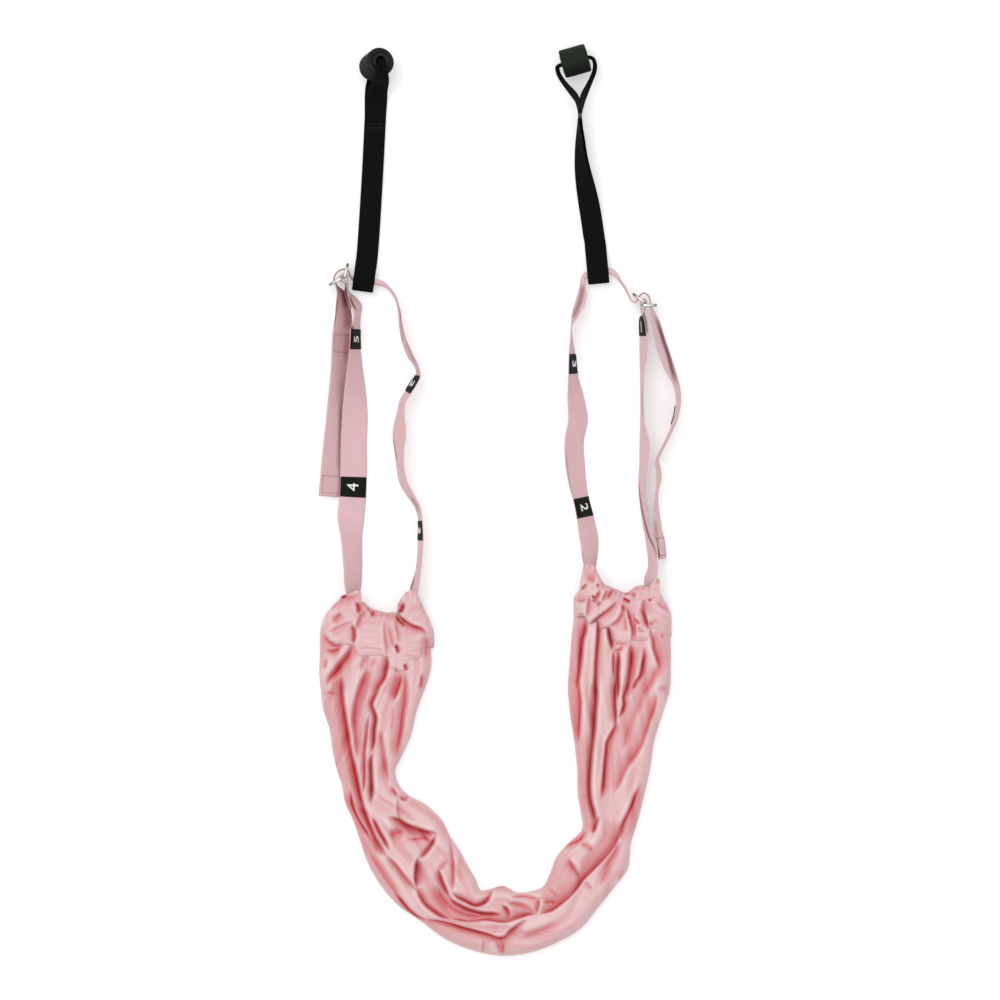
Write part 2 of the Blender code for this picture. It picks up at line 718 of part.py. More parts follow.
def make_anchor(prefix, side, anchor, direction, collection):
    """One closed loop of webbing: out on the lower layer, through the roll and back."""
    lower, upper = pair_rows(anchor)
    rows = fold_rows(side, anchor) + lower + anchor_rows(anchor, "lower_in")
    rows += bore_rows(anchor, direction) + anchor_rows(anchor, "upper_out") + upper
    found = frames(smooth(rows, ANCHOR_STEPS, True), True)
    sections = [section(f) for f in found]
    webbing = loft(prefix + "_door_anchor_webbing", sections, True, "anchor", collection)
    (x, y), _ = side["bundle"]
    hang_on_pivot(prefix + "_anchor_pivot", (x * MM, y * MM, BUNDLE_HEIGHT), [webbing], collection)


def turned(name, profile, kind, collection):
    """A closed profile of radius and height turned about the object's own Z."""
    data = bpy.data.meshes.new(name)
    count = len(profile)
    edges = [(i, (i + 1) % count) for i in range(count)]
    data.from_pydata([(radius, 0.0, height) for radius, height in profile], edges, [])
    thing = add_object(name, data, kind, collection)
    screw = thing.modifiers.new("turn", "SCREW")
    screw.steps = ROLL_SIDES
    screw.render_steps = ROLL_SIDES
    screw.use_merge_vertices = True
    screw.merge_threshold = 0.00001
    screw.use_smooth_shade = False
    return thing


def make_roll(prefix, anchor, collection):
    half = ROLL_LENGTH / 2
    outer = ROLL_DIAMETER / 2
    inner = CORE_DIAMETER / 2 + SEAT_GAP
    foam = turned(prefix + "_foam_sleeve", [
        (outer - ROLL_EDGE, half), (outer, half - ROLL_EDGE), (outer, ROLL_EDGE - half),
        (outer - ROLL_EDGE, -half), (inner, -half), (inner, half),
    ], "foam", collection)
    tall = half + CORE_PROUD
    core = turned(prefix + "_core_tube", [
        (CORE_DIAMETER / 2, tall), (CORE_DIAMETER / 2, -tall),
        (CORE_BORE / 2, -tall), (CORE_BORE / 2, tall),
    ], "core", collection)
    centre, axis = Vector(anchor["roll"][0]) * MM, Vector(anchor["roll"][1])
    turn = UP.rotation_difference(axis)
    for thing in (foam, core):
        thing.rotation_mode = "QUATERNION"
        thing.rotation_quaternion = turn
        thing.location = centre


def panel_bump(share):
    """One round the middle of the U, none in its arms."""
    return max(0.0, 1.0 - (abs(share - 0.5) / POUCH_SPREAD) ** 2)


def panel_profile(share):
    """The doubled cloth's outer face over its width, at a share of the way round.

    Each point is a share of the width, a height, and the way into the cloth. The back
    layer lies flat, and the front layer comes back over it in long folds.
    """
    points = [(PANEL_BACK_EDGE * k / 3, 0.0, (0.0, 1.0)) for k in range(4)]
    points.append((1.0, 0.3 * PANEL_HEIGHT, (-1.0, 0.0)))
    end = PANEL_EDGE_INSET + POUCH_SETBACK * panel_bump(share)
    swell = 1.0 - POUCH_SINK * panel_bump(share)
    steps = 2 * PANEL_FOLDS
    for j in range(steps + 1):
        along = PANEL_FIRST_FOLD - (PANEL_FIRST_FOLD - end) * j / steps
        along += PANEL_FOLD_WAVER * math.sin(9.0 * share + 1.9 * j) * math.sin(math.pi * j / steps)
        height = PANEL_HEIGHT * swell * (0.92 + 0.08 * math.sin(5.0 * share + 1.1 * j))
        if j % 2:
            depth = PANEL_FOLD_DEPTH * (1.0 - POUCH_FLATTENING * panel_bump(share))
            height -= depth * (1.1 + 0.25 * math.sin(11.0 * share + 2.3 * j))
        inward = (-0.5, -1.9) if j == 0 else (0.0, -1.4)
        points.append((along, height, inward))
    return points


def panel_section(outer, inner, share):
    """The profile's outer face and, back along its inner side, the cloth's other face."""
    way = (outer - inner).normalized()
    face, back = [], []
    for along, height, (inward, upward) in panel_profile(share):
        place = inner.lerp(outer, along) + UP * height
        face.append(place)
        back.append(place + (way * inward + UP * upward) * PANEL_THICKNESS)
    return face + back[::-1]


def make_panel(collection):
    sections = []
    for i, (outer, inner) in enumerate(PANEL):
        outer = Vector((outer[0] * MM, outer[1] * MM, 0.0))
        inner = Vector((inner[0] * MM, inner[1] * MM, 0.0))
        sections.append(panel_section(outer, inner, i / (len(PANEL) - 1)))
    loft("sling_panel", sections, False, "satin", collection)


def casing_section(x, top, share, bottom):
    """The casing's outline in a plane across its tunnel, at one place along it."""
    height = CASING_HEIGHT * share
    long = top - bottom
    return [Vector((x, y, z)) for y, z in (
        (bottom, 0.0),
        (top - CASING_EDGE_ROUNDING, 0.0),
        (top, 0.18 * height),
        (top - 0.02 * long, 0.62 * height),
        (top - 0.14 * long, 0.93 * height),
        (top - 0.34 * long, height),
        (top - 0.62 * long, 0.90 * height),
        (top - 0.74 * long, 0.70 * height),
        (top - 0.86 * long, 0.88 * height),
        (bottom, 0.84 * height),
    )]


def make_casing(prefix, table, side, edge, parts, cutters):
    """The gathered hem, with a round tunnel where the strap's bundle runs through it."""
    (x0, y0), (x1, y1) = edge
    sections = []
    for x, top, share in table:
        over = (x - x0) / (x1 - x0)
        bottom = (y0 + (y1 - y0) * over) * MM + CASING_GAP
        sections.append(casing_section(x * MM, top * MM, share, bottom))
    casing = loft(prefix + "_gathered_casing", sections, False, "satin", parts)
    start, end, y = side["tunnel"]
    bpy.ops.mesh.primitive_cylinder_add(
        vertices=TUNNEL_SIDES,
        radius=BUNDLE_DIAMETER / 2 + TUNNEL_CLEARANCE,
        depth=abs(end - start) * MM + 2 * TUNNEL_OVERRUN,
        location=((start + end) / 2 * MM, y * MM, CASING_AXIS_HEIGHT),
        rotation=(0.0, math.pi / 2, 0.0),
    )
    cutter = bpy.context.object
    cutter.name = prefix + "_tunnel_cutter"
    cutter.display_type = "WIRE"
    cutter.hide_render = True
    for collection in cutter.users_collection:
        collection.objects.unlink(cutter)
    cutters.objects.link(cutter)
    cut = casing.modifiers.new("tunnel", "BOOLEAN")
    cut.operation = "DIFFERENCE"
    cut.object = cutter
    cut.solver = "EXACT"


def main():
    clear_scene()
    parts = make_collection("yoga_sling")
    cutters = make_collection("cutters")
    make_panel(parts)
    make_casing("left", LEFT_CASING, LEFT, PANEL[0], parts, cutters)
    make_casing("right", RIGHT_CASING, RIGHT, PANEL[-1], parts, cutters)
    make_strap("left", LEFT, -1, parts)
    make_strap("right", RIGHT, 1, parts)
    make_rings("left", LEFT, parts)
    make_rings("right", RIGHT, parts)
    make_anchor("left", LEFT, LEFT_ANCHOR, 1, parts)
    make_anchor("right", RIGHT, RIGHT_ANCHOR, -1, parts)
    make_roll("left", LEFT_ANCHOR, parts)
    make_roll("right", RIGHT_ANCHOR, parts)


main()
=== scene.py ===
"""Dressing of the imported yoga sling: satin, webbing, foam and nickel over the CAD frame.

Metres, +Z up, as in the frame. Tables of places are in millimetres.
"""

import math

import bmesh
import bpy
import numpy as np
from mathutils import Matrix, Vector


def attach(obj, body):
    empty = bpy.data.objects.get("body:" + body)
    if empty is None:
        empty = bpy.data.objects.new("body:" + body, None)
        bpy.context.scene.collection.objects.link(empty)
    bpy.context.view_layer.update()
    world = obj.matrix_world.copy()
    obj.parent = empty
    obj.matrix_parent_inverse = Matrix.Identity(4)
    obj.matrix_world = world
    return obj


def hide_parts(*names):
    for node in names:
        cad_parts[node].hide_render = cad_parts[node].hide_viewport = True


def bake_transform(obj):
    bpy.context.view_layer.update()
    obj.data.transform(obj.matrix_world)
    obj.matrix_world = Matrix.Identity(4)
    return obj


bl_info = {
    "name": "Yoga sling dressing",
    "version": (1, 0, 0),
    "blender": (4, 5, 0),
    "location": "3D View > Sidebar > Yoga sling",
    "description": "Dresses the packed yoga sling in satin, webbing, foam and nickel",
    "category": "Object",
}

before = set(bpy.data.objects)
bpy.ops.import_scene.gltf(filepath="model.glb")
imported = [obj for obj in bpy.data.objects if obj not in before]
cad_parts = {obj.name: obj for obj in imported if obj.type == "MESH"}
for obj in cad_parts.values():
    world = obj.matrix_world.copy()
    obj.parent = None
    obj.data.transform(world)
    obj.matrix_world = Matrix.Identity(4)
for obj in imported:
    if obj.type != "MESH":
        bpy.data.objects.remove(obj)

MM = 0.001
UP = Vector((0.0, 0.0, 1.0))

# Adjustable webbing of the sling's two loops
WEBBING_WIDTH = 0.038
WEBBING_THICKNESS = 0.0016
BUNDLE_DIAMETER = 0.009
FLAP_LENGTH = 0.042
FLAP_GAP = 0.0014
STRAP_LIFT = 0.0006

# Door anchor webbing, which is doubled
ANCHOR_WIDTH = 0.030
ANCHOR_THICKNESS = 0.002
ANCHOR_LAYER_GAP = 0.0010
ANCHOR_FOLDED_WIDTH = 0.011
ANCHOR_FOLDED_THICKNESS = 0.0055
ANCHOR_FOLD_RUN = 0.034
ANCHOR_FOLD_SETBACK = 0.0085
BUNDLE_CLEARANCE = 0.0012

# Foam roll on its core tube
ROLL_LENGTH = 0.038
ROLL_DIAMETER = 0.040
ROLL_ROUNDING = 0.0035
ROLL_SIDES = 96
ROLL_WAVER = 0.006
CORE_DIAMETER = 0.025
CORE_BORE = 0.0145
CORE_PROUD = 0.0005
CORE_ROUNDING = 0.0006
CORE_SIDES = 72
SEAT_GAP = 0.0003

# D-rings
RING_WIRE = 0.004
RING_DEPTH = 0.018
RING_ROOM = 0.002
RING_STRAP_GAP = 0.0008

# Number tags sewn on the webbing, and their embroidered numbers
LABEL_LENGTH = 0.028
LABEL_THICKNESS = 0.0006
LABEL_GAP = 0.0006
TAG_BOTTOM = WEBBING_THICKNESS / 2 + 0.1 * LABEL_GAP
TAG_TOP = WEBBING_THICKNESS / 2 + LABEL_GAP + LABEL_THICKNESS
TAG_HALF_WIDTH = (WEBBING_WIDTH - WEBBING_THICKNESS) / 2
TAG_TAPE = 0.0004
TAG_EDGE = 0.0012
TAG_ROWS = 15
TAG_COLUMNS = 13
NUMBER_HEIGHT = 0.0165
TYPE_OVER_HEIGHT = 1.4
NUMBER_BOLDNESS = -0.0001
NUMBER_RISE = 0.0002
NUMBER_BEVEL = 0.00025

# Axis of the gathered webbing in a casing, over the floor
CASING_AXIS_HEIGHT = 0.014

# Rows of a straight stretch, as shares of its half length; the outer pairs keep it straight
STRAIGHT_SHARES = (-1.0, -0.75, 0.0, 0.75, 1.0)

ANCHOR_FOLD_RADIUS = BUNDLE_DIAMETER / 2 + BUNDLE_CLEARANCE + ANCHOR_THICKNESS / 2
BUNDLE_HEIGHT = ANCHOR_THICKNESS / 2 + ANCHOR_FOLD_RADIUS
RING_HEIGHT = WEBBING_WIDTH + RING_ROOM + RING_WIRE
RING_CENTRE = RING_HEIGHT / 2 + RING_WIRE / 2 + STRAP_LIFT
BAR_LOOP_RADIUS = RING_WIRE / 2 + RING_STRAP_GAP + WEBBING_THICKNESS / 2

# How finely the visible webbing is drawn, and how it crowds where it is gathered
STRAP_VISUAL_STEPS = 7
ANCHOR_VISUAL_STEPS = 9
FACE_POINTS = 21
PLEATS = 2.5
PLEAT_CROWDING = 0.8
SELVEDGE_SOFTNESS = 0.35
SELVEDGE_POWER = 16

# How a painted shade on the webbing fades: over this share of its run, and as it turns from up
SHADE_FADE = 0.2
SHADE_FADE_POWER = 0.7
SHADE_LEAST_UP = 0.08
SHADE_UP_GAIN = 5

# Stitches, as a maker sets them on the machine
BOX_LENGTH = 0.024
BOX_WIDTH = 0.030
BOX_STEPS = 12
FLAP_BOX_INSET = 0.004
TAIL_BOX_INSET = 0.005
TACK_WIDTH = 0.020
TACK_STEPS = 40
TACK_REACH = 0.0012
TACK_SPACING = 0.006
TAG_STITCH_INSET = 0.002
TAG_STITCH_POINTS = 17
STITCH_LIFT = 0.00025

# Satin: how finely it is drawn, its lowest and highest places, and its folds
PATH_STEPS = 12
CREASE_STEPS = 3
PANEL_COLUMNS = 190
PANEL_BACK = 0.0006
PANEL_LEAST = 0.0024
PANEL_SEAM = 0.0015
CASING_ROWS = 120
CASING_COLUMNS = 170
CASING_BACK = 0.0008
CASING_LEAST = 0.003
CASING_OVER_PANEL = 0.001
CASING_EDGE = 0.014
CASING_CROWN = 0.001
MOUTH_HEIGHT = 0.0275
MOUTH_DEPTH = 0.03
PLEAT_WIDTH = 0.0083
PLEAT_RUN = 0.011
PLEAT_DEPTH = 0.0011
WAVE_DEPTH = 0.0012
SOFT_HEM_DROP = 0.008
SOFT_HEM_RUN = 0.018
HEM_DROP = 0.005
HEM_ROUNDING = 0.004
HEM_SOFTENING = 4
# Range of the satin's painted shade and highlight
PAINTED_SHADE_RANGE = (-0.5, 1.3)
TUCKED_LENGTH = 0.042
TUCKED_HEIGHT = 0.65
PLEAT_WANDER = 2.4
PLEAT_WANDER_WIDTH = 0.011
PLEAT_SWAY = 3
PLEAT_SWAY_LENGTH = 0.02

# Painted shade on the satin's rounded edges, and painted highlight on its waves and pleats
EDGE_PAINTED_SHADE = 0.3
PANEL_WAVE_PAINTED_HIGHLIGHT = 0.16
CASING_WAVE_PAINTED_HIGHLIGHT = 0.12
PLEAT_PAINTED_HIGHLIGHT = 0.15

# A crease: its depth, how it tapers at its ends, and how it falls off on its gentle and steep sides
CREASE_DEPTH = 0.75
CREASE_OVERLAP = 0.25
CREASE_REACH = 3.2
CREASE_TAPER = 0.02
CREASE_TAPER_SHARE = 0.35
CREASE_END_WIDTH = 0.4
CREASE_END_STRENGTH = 0.1
DEPTH_FALLS = (1.2, 2.0)

# Its painted shade with a narrow stronger core, and the raised lip beside its steep side with a painted
# highlight
CREASE_SHADE_STRENGTH = 0.85
CREASE_SHADE_REACH = 1.15
CREASE_SHADE_FALLS = (1.0, 1.6)
SHADE_CORE_STRENGTH = 0.35
SHADE_CORE_WIDTH = 0.0011
LIP_PLACE = 2.2
LIP_WIDTH = 1.3
LIP_HEIGHT = 0.0012
LIP_PAINTED_HIGHLIGHT = 0.3
LIP_CLEARANCE = 1.5

# The frame of the photograph, which looks straight down
VIEW_WIDTH = 1.4
VIEW_CENTRE = (0.0, -0.0007)
CAMERA_HEIGHT = 3.0
FLOOR_SIZE = 12.0
FLOOR_DROP = 0.0004

# Each strap's legs as rows of x, y and the lean of the webbing from flat, in degrees, or as rows
# of x, y, z, lean, width and thickness where it is crumpled.
# A negative lean lifts the edge on the right of the way that the row's leg runs.
LEFT = {
    "bars": {"inner": (-217.5, 311.8), "outer": (-222.1, 309.8)},
    "ring_ways": {"inner": (0.233, 0.972), "outer": (-0.876, -0.483)},
    "bar_turn": [
        ("outer", 225), ("outer", 180), ("outer", 130),
        ("inner", 100), ("inner", 60), ("inner", 12),
    ],
    "main_start": [
        (-213.8, 302, 22.6, -88, 38, 1.6),
        (-213.0, 291, 20.8, -86, 38, 1.6),
    ],
    "main": [
        (-207, 281, -75), (-200.3, 270, -68), (-199.8, 256, -76), (-202.5, 238, -69),
        (-203, 214, -66), (-203, 188, -56), (-203, 162, -43), (-203, 139, -30),
        (-203.5, 115, -17), (-205, 76, -12), (-205, 44, -9), (-206.5, -1, -9),
        (-208.5, -22, -9), (-208, -50, -36), (-206, -96, -46), (-206, -126, -55),
    ],
    "casing_in": [
        (-206, -142, 15.5, -62, 24, 3.0),
        (-202.5, -156.5, 14, -75, 13, 6.5),
    ],
    "casing_out": [
        (-128, -157.5, 14, -75, 13, 6.5),
        (-122, -144, 16.5, -72, 26, 2.8),
    ],
    "back": [
        (-120, -126, -71), (-114, -96, -79), (-111, -57, -79), (-111, -34, -82),
        (-115, -12, -79), (-127, 9, -75), (-136, 26, -73), (-139.5, 45, -74),
        (-141, 66, -70), (-141, 92, -60), (-139, 122, -74), (-136, 138, -77),
        (-129, 149.5, -77), (-121.5, 161.5, -76), (-114.5, 174, -80), (-117, 187, -82),
        (-126, 202, -78), (-134, 222, -80), (-139, 244, -84),
    ],
    "to_bundle": [
        (-141.5, 266, 17.5, -86, 34, 1.8),
        (-147, 284, 13.5, -86, 24, 2.6),
        (-157, 297, 10, -86, 15, 4.4),
        (-166, 302.8, 8, -86, 10.5, 7.2),
    ],
    "threaded": [
        (-207.2, 310.3, 9.2, -88, 12, 4.4),
        (-210.0, 313.3, 12.6, -88, 17, 3.0),
        (-211.3, 317.6, 16.4, -88, 21, 2.2),
        (-213.6, 320.8, 19.4, -88, 24, 1.8),
        (-217.2, 322.2, 20.6, -88, 26, 1.8),
        (-221.8, 321.8, 21.6, -88, 28, 1.8),
        (-227.0, 319.0, 22.8, -88, 29, 1.6),
        (-231.0, 314.4, 23.6, -88, 30, 1.6),
        (-232.5, 309.5, 24.0, -88, 30, 1.6),
        (-231.2, 304.8, 24.0, -88, 30, 1.6),
        (-228.8, 299.0, 23.0, -86, 32, 1.6),
        (-223.4, 289, 20.6, -71, 35, 1.6),
    ],
    "tail": [
        (-220.6, 275, -61), (-219.2, 254, -51), (-221.9, 230, -47), (-222.9, 202, -46),
        (-225.3, 170, -48), (-228.6, 139, -48.5), (-231.1, 108, -47), (-235, 62, -42.5),
        (-237.7, 22, -38), (-238.8, 4, -36),
    ],
    "bundle": ((-190.6, 307.2), (0.991, -0.130)),
    "bundle_reach": 13.0,
    "labels": [
        ("main", (-203, 224)), ("main", (-205.6, 18)), ("back", (-121, 162)), ("back", (-111, -44)),
    ],
    "tunnel": (-193.5, -136.5, -163.1),
}

RIGHT = {
    "bars": {"inner": (201.6, 276.5), "outer": (200.2, 271.9)},
    "ring_ways": {"inner": (-0.8, 0.6), "outer": (1.0, 0.0)},
    "bar_turn": [
        ("outer", -20), ("outer", 10), ("inner", 25), ("inner", 75), ("inner", 120),
        ("inner", 165), ("outer", 192),
    ],
    "main_start": [
        (198.6, 261, 20.8, 86, 38, 1.6),
    ],
    "main": [
        (199.4, 250, 80), (200.5, 233, 76), (201, 211, 73), (199, 176, 82),
        (199, 111, 83), (202.5, 74, 68), (200.8, 48, 73), (198.8, 22, 75), (203.5, -26, 75),
        (211, -62, 71), (214, -94, 69), (211, -110, 63),
    ],
    "casing_in": [
        (209, -121, 15.5, 60, 30, 2.2),
        (207.5, -129.5, 14.5, 66, 21, 3.6),
        (206, -143, 14, 78, 13, 6.5),
    ],
    "casing_out": [
        (131.5, -143, 14, 78, 13, 6.5),
        (127, -129, 16.5, 72, 26, 2.8),
    ],
    "back": [
        (126, -94, 64), (125, -59, 47), (120, -29, 50), (113, 2, 54), (108, 27, 48),
        (105, 52, 44), (104, 82, 45), (109.2, 112, 43), (106.2, 141, 51), (102.4, 173, 69),
        (101, 202, 76),
    ],
    "to_bundle": [
        (100, 226, 18.6, 86, 37, 1.6),
        (100.2, 243, 18.0, 92, 34, 1.8),
        (106.0, 260, 16.0, 110, 29, 2.0),
        (112.4, 276, 13.5, 126, 24, 2.2),
        (115.4, 289, 11.5, 128, 19.5, 3.0),
        (116.0, 300, 9.4, 112, 14, 4.6),
        (117.0, 310, 7.8, 92, 9.8, 7.2),
    ],
    "threaded": [
        (160.5, 316.5, 8.6, 88, 11.5, 6.4),
        (168.5, 306, 11.5, 84, 17, 3.2),
        (175.5, 295.5, 14.8, 84, 22, 2.2),
        (180, 286.5, 17.0, 86, 24, 1.8),
        (183.6, 279, 18.6, 88, 25, 1.8),
        (188.4, 275.8, 19.8, 88, 25, 1.8),
        (191.8, 278.6, 20.6, 88, 26, 1.8),
        (194.0, 282.6, 21.2, 88, 27, 1.8),
        (197.2, 287, 22.0, 88, 28, 1.6),
        (202.5, 289, 23.0, 88, 29, 1.6),
        (207.6, 285.6, 23.8, 88, 30, 1.6),
        (210.2, 279.3, 24.2, 89, 30, 1.6),
        (210.8, 271.9, 24.2, 92, 30, 1.6),
        (213.2, 262, 22.2, 100, 34, 1.6),
    ],
    "tail": [
        (216.5, 252, 106), (221, 235, 111), (226.5, 214, 115), (236.2, 187, 113),
        (246, 163, 104), (249.2, 149, 101), (249.5, 134, 100), (246, 114, 98),
        (236, 89, 95.5), (226, 69, 95), (219.9, 55, 96), (221.8, 42, 99.5), (222.4, 29, 100),
        (219.6, 12, 96), (218.4, -4, 99), (218.8, -20, 103), (220.9, -43, 108), (225.2, -60, 107),
        (227.4, -83, 106),
    ],
    "bundle": ((137.0, 318.0), (0.984, 0.179)),
    "bundle_reach": 14.0,
    "labels": [
        ("main", (200.6, 243)), ("back", (103.5, 188)), ("back", (115.5, -10)), ("tail", (246.5, 117)),
    ],
    "tunnel": (196.5, 140.5, -149.1),
}

# Left door anchor: how the doubled webbing lies, and the way up the leaning roll
LEFT_ANCHOR = {
    "way": (0.135, 0.991),
    "pair": [(-179, 447, 0), (-175.2, 521, 0), (-174.5, 535, 0)],
    "roll": ((-172.9, 609.0, 25.7), (0.332, 0.258, 0.907)),
    "lower_in": [
        (-174.5, 562, 1.3, 30, 2.0),
        (-176.5, 577, 2.9, 24, 2.6),
        (-178.4, 588, 3.5, 16, 4.0),
        (-179.3, 596, 4.6, 12, 5.0),
        (-179.8, 601.2, 6.2, 11, 5.5),
    ],
    "upper_out": [
        (-165.2, 614.7, 46.9, 12, 4.6),
        (-165.0, 611.4, 51.0, 13, 4.2),
        (-165.1, 604.5, 52.4, 15, 4.0),
        (-165.2, 596.5, 52.0, 18, 3.4),
        (-165.6, 590.0, 48.6, 21, 3.0),
        (-167.2, 584.2, 38.0, 24, 2.5),
        (-169.2, 578.2, 24.0, 26, 2.3),
        (-171.4, 570.2, 11.0, 28, 2.0),
        (-172.8, 560.0, 4.6, 30, 2.0),
    ],
    "across": (0.943, -0.091, -0.319),
    "across_flat": (1.0, 0.0, 0.0),
}

# Right door anchor: the webbing turns on edge and its two layers part to the roll's ends
RIGHT_ANCHOR = {
    "way": (-0.092, 0.996),
    "pair": [
        (133.2, 359, 0), (131.6, 368, 2), (128.6, 389, 5), (125.2, 410, 13), (121.8, 429, 25),
        (118.4, 447, 37), (115.4, 465, 49), (113.4, 483, 60), (112.5, 503, 70), (112, 519, 80),
        (112, 530, 86), (112, 541, 90),
    ],
    "roll": ((105.0, 613.9, 20.2), (0.963, 0.270, 0.0)),
    "lower_in": [
        (116.3, 562, 16.5, 28, 2.2),
        (121.6, 575, 18.0, 22, 2.8),
        (127.2, 587, 19.3, 16, 4.0),
        (131.6, 598, 20.2, 12, 5.2),
        (133.0, 608.5, 20.2, 11, 5.5),
        (130.0, 617.0, 20.2, 11, 5.5),
    ],
    "upper_out": [
        (80.6, 605.2, 20.2, 11, 5.5),
        (81.8, 597.0, 20.2, 11.5, 5.2),
        (86.2, 588.5, 20.0, 13, 4.8),
        (93.0, 579.5, 19.0, 19, 3.4),
        (101.8, 569.0, 17.6, 25, 2.4),
        (108.4, 558.5, 16.2, 28, 2.1),
    ],
    "across": (0.0, 0.0, 1.0),
    "across_flat": (0.0, 0.0, 1.0),
}

# The sling panel between its outer edge and its inner edge, from the left casing round
PANEL = [
    ((-253, -243), (-97, -237)), ((-251, -267), (-105, -264)), ((-248, -292), (-116, -293)),
    ((-239, -321), (-125, -330)), ((-234, -354), (-137, -358)), ((-228, -379), (-147, -380)),
    ((-221, -401), (-140, -402)), ((-217, -424), (-126, -415)), ((-207, -446), (-105, -426)),
    ((-196, -477), (-81, -449)), ((-188, -502), (-70, -471)), ((-172, -533), (-56, -492)),
    ((-146, -565), (-45, -513)), ((-111, -590), (-35, -530)), ((-77, -615), (-27, -547)),
    ((-35, -632), (-13, -545)), ((4, -638.5), (4, -541)), ((42, -634), (24, -550)),
    ((78, -621), (45, -548)), ((112, -601), (60, -542)), ((139, -569), (70, -523)),
    ((162, -540), (80, -499)), ((179, -516), (95, -482)), ((183, -482), (115, -461)),
    ((193, -449), (113, -438)), ((200, -421), (109, -415)), ((210, -377), (108, -379)),
    ((216, -337), (104, -340)), ((228, -298), (98, -299)), ((238, -264), (95, -264)),
    ((239, -234), (97, -234)), ((239, -206), (99, -206)),
]

# The number on each length tag, and the one tag whose number stands across the webbing
TAG_NUMBERS = {"left": "5423", "right": "1324"}
UPRIGHT_NUMBER = ("right", 1)

# Where the left strap's tail is sewn down again
SPLICE_PLACES = {"left": (-221, 220)}
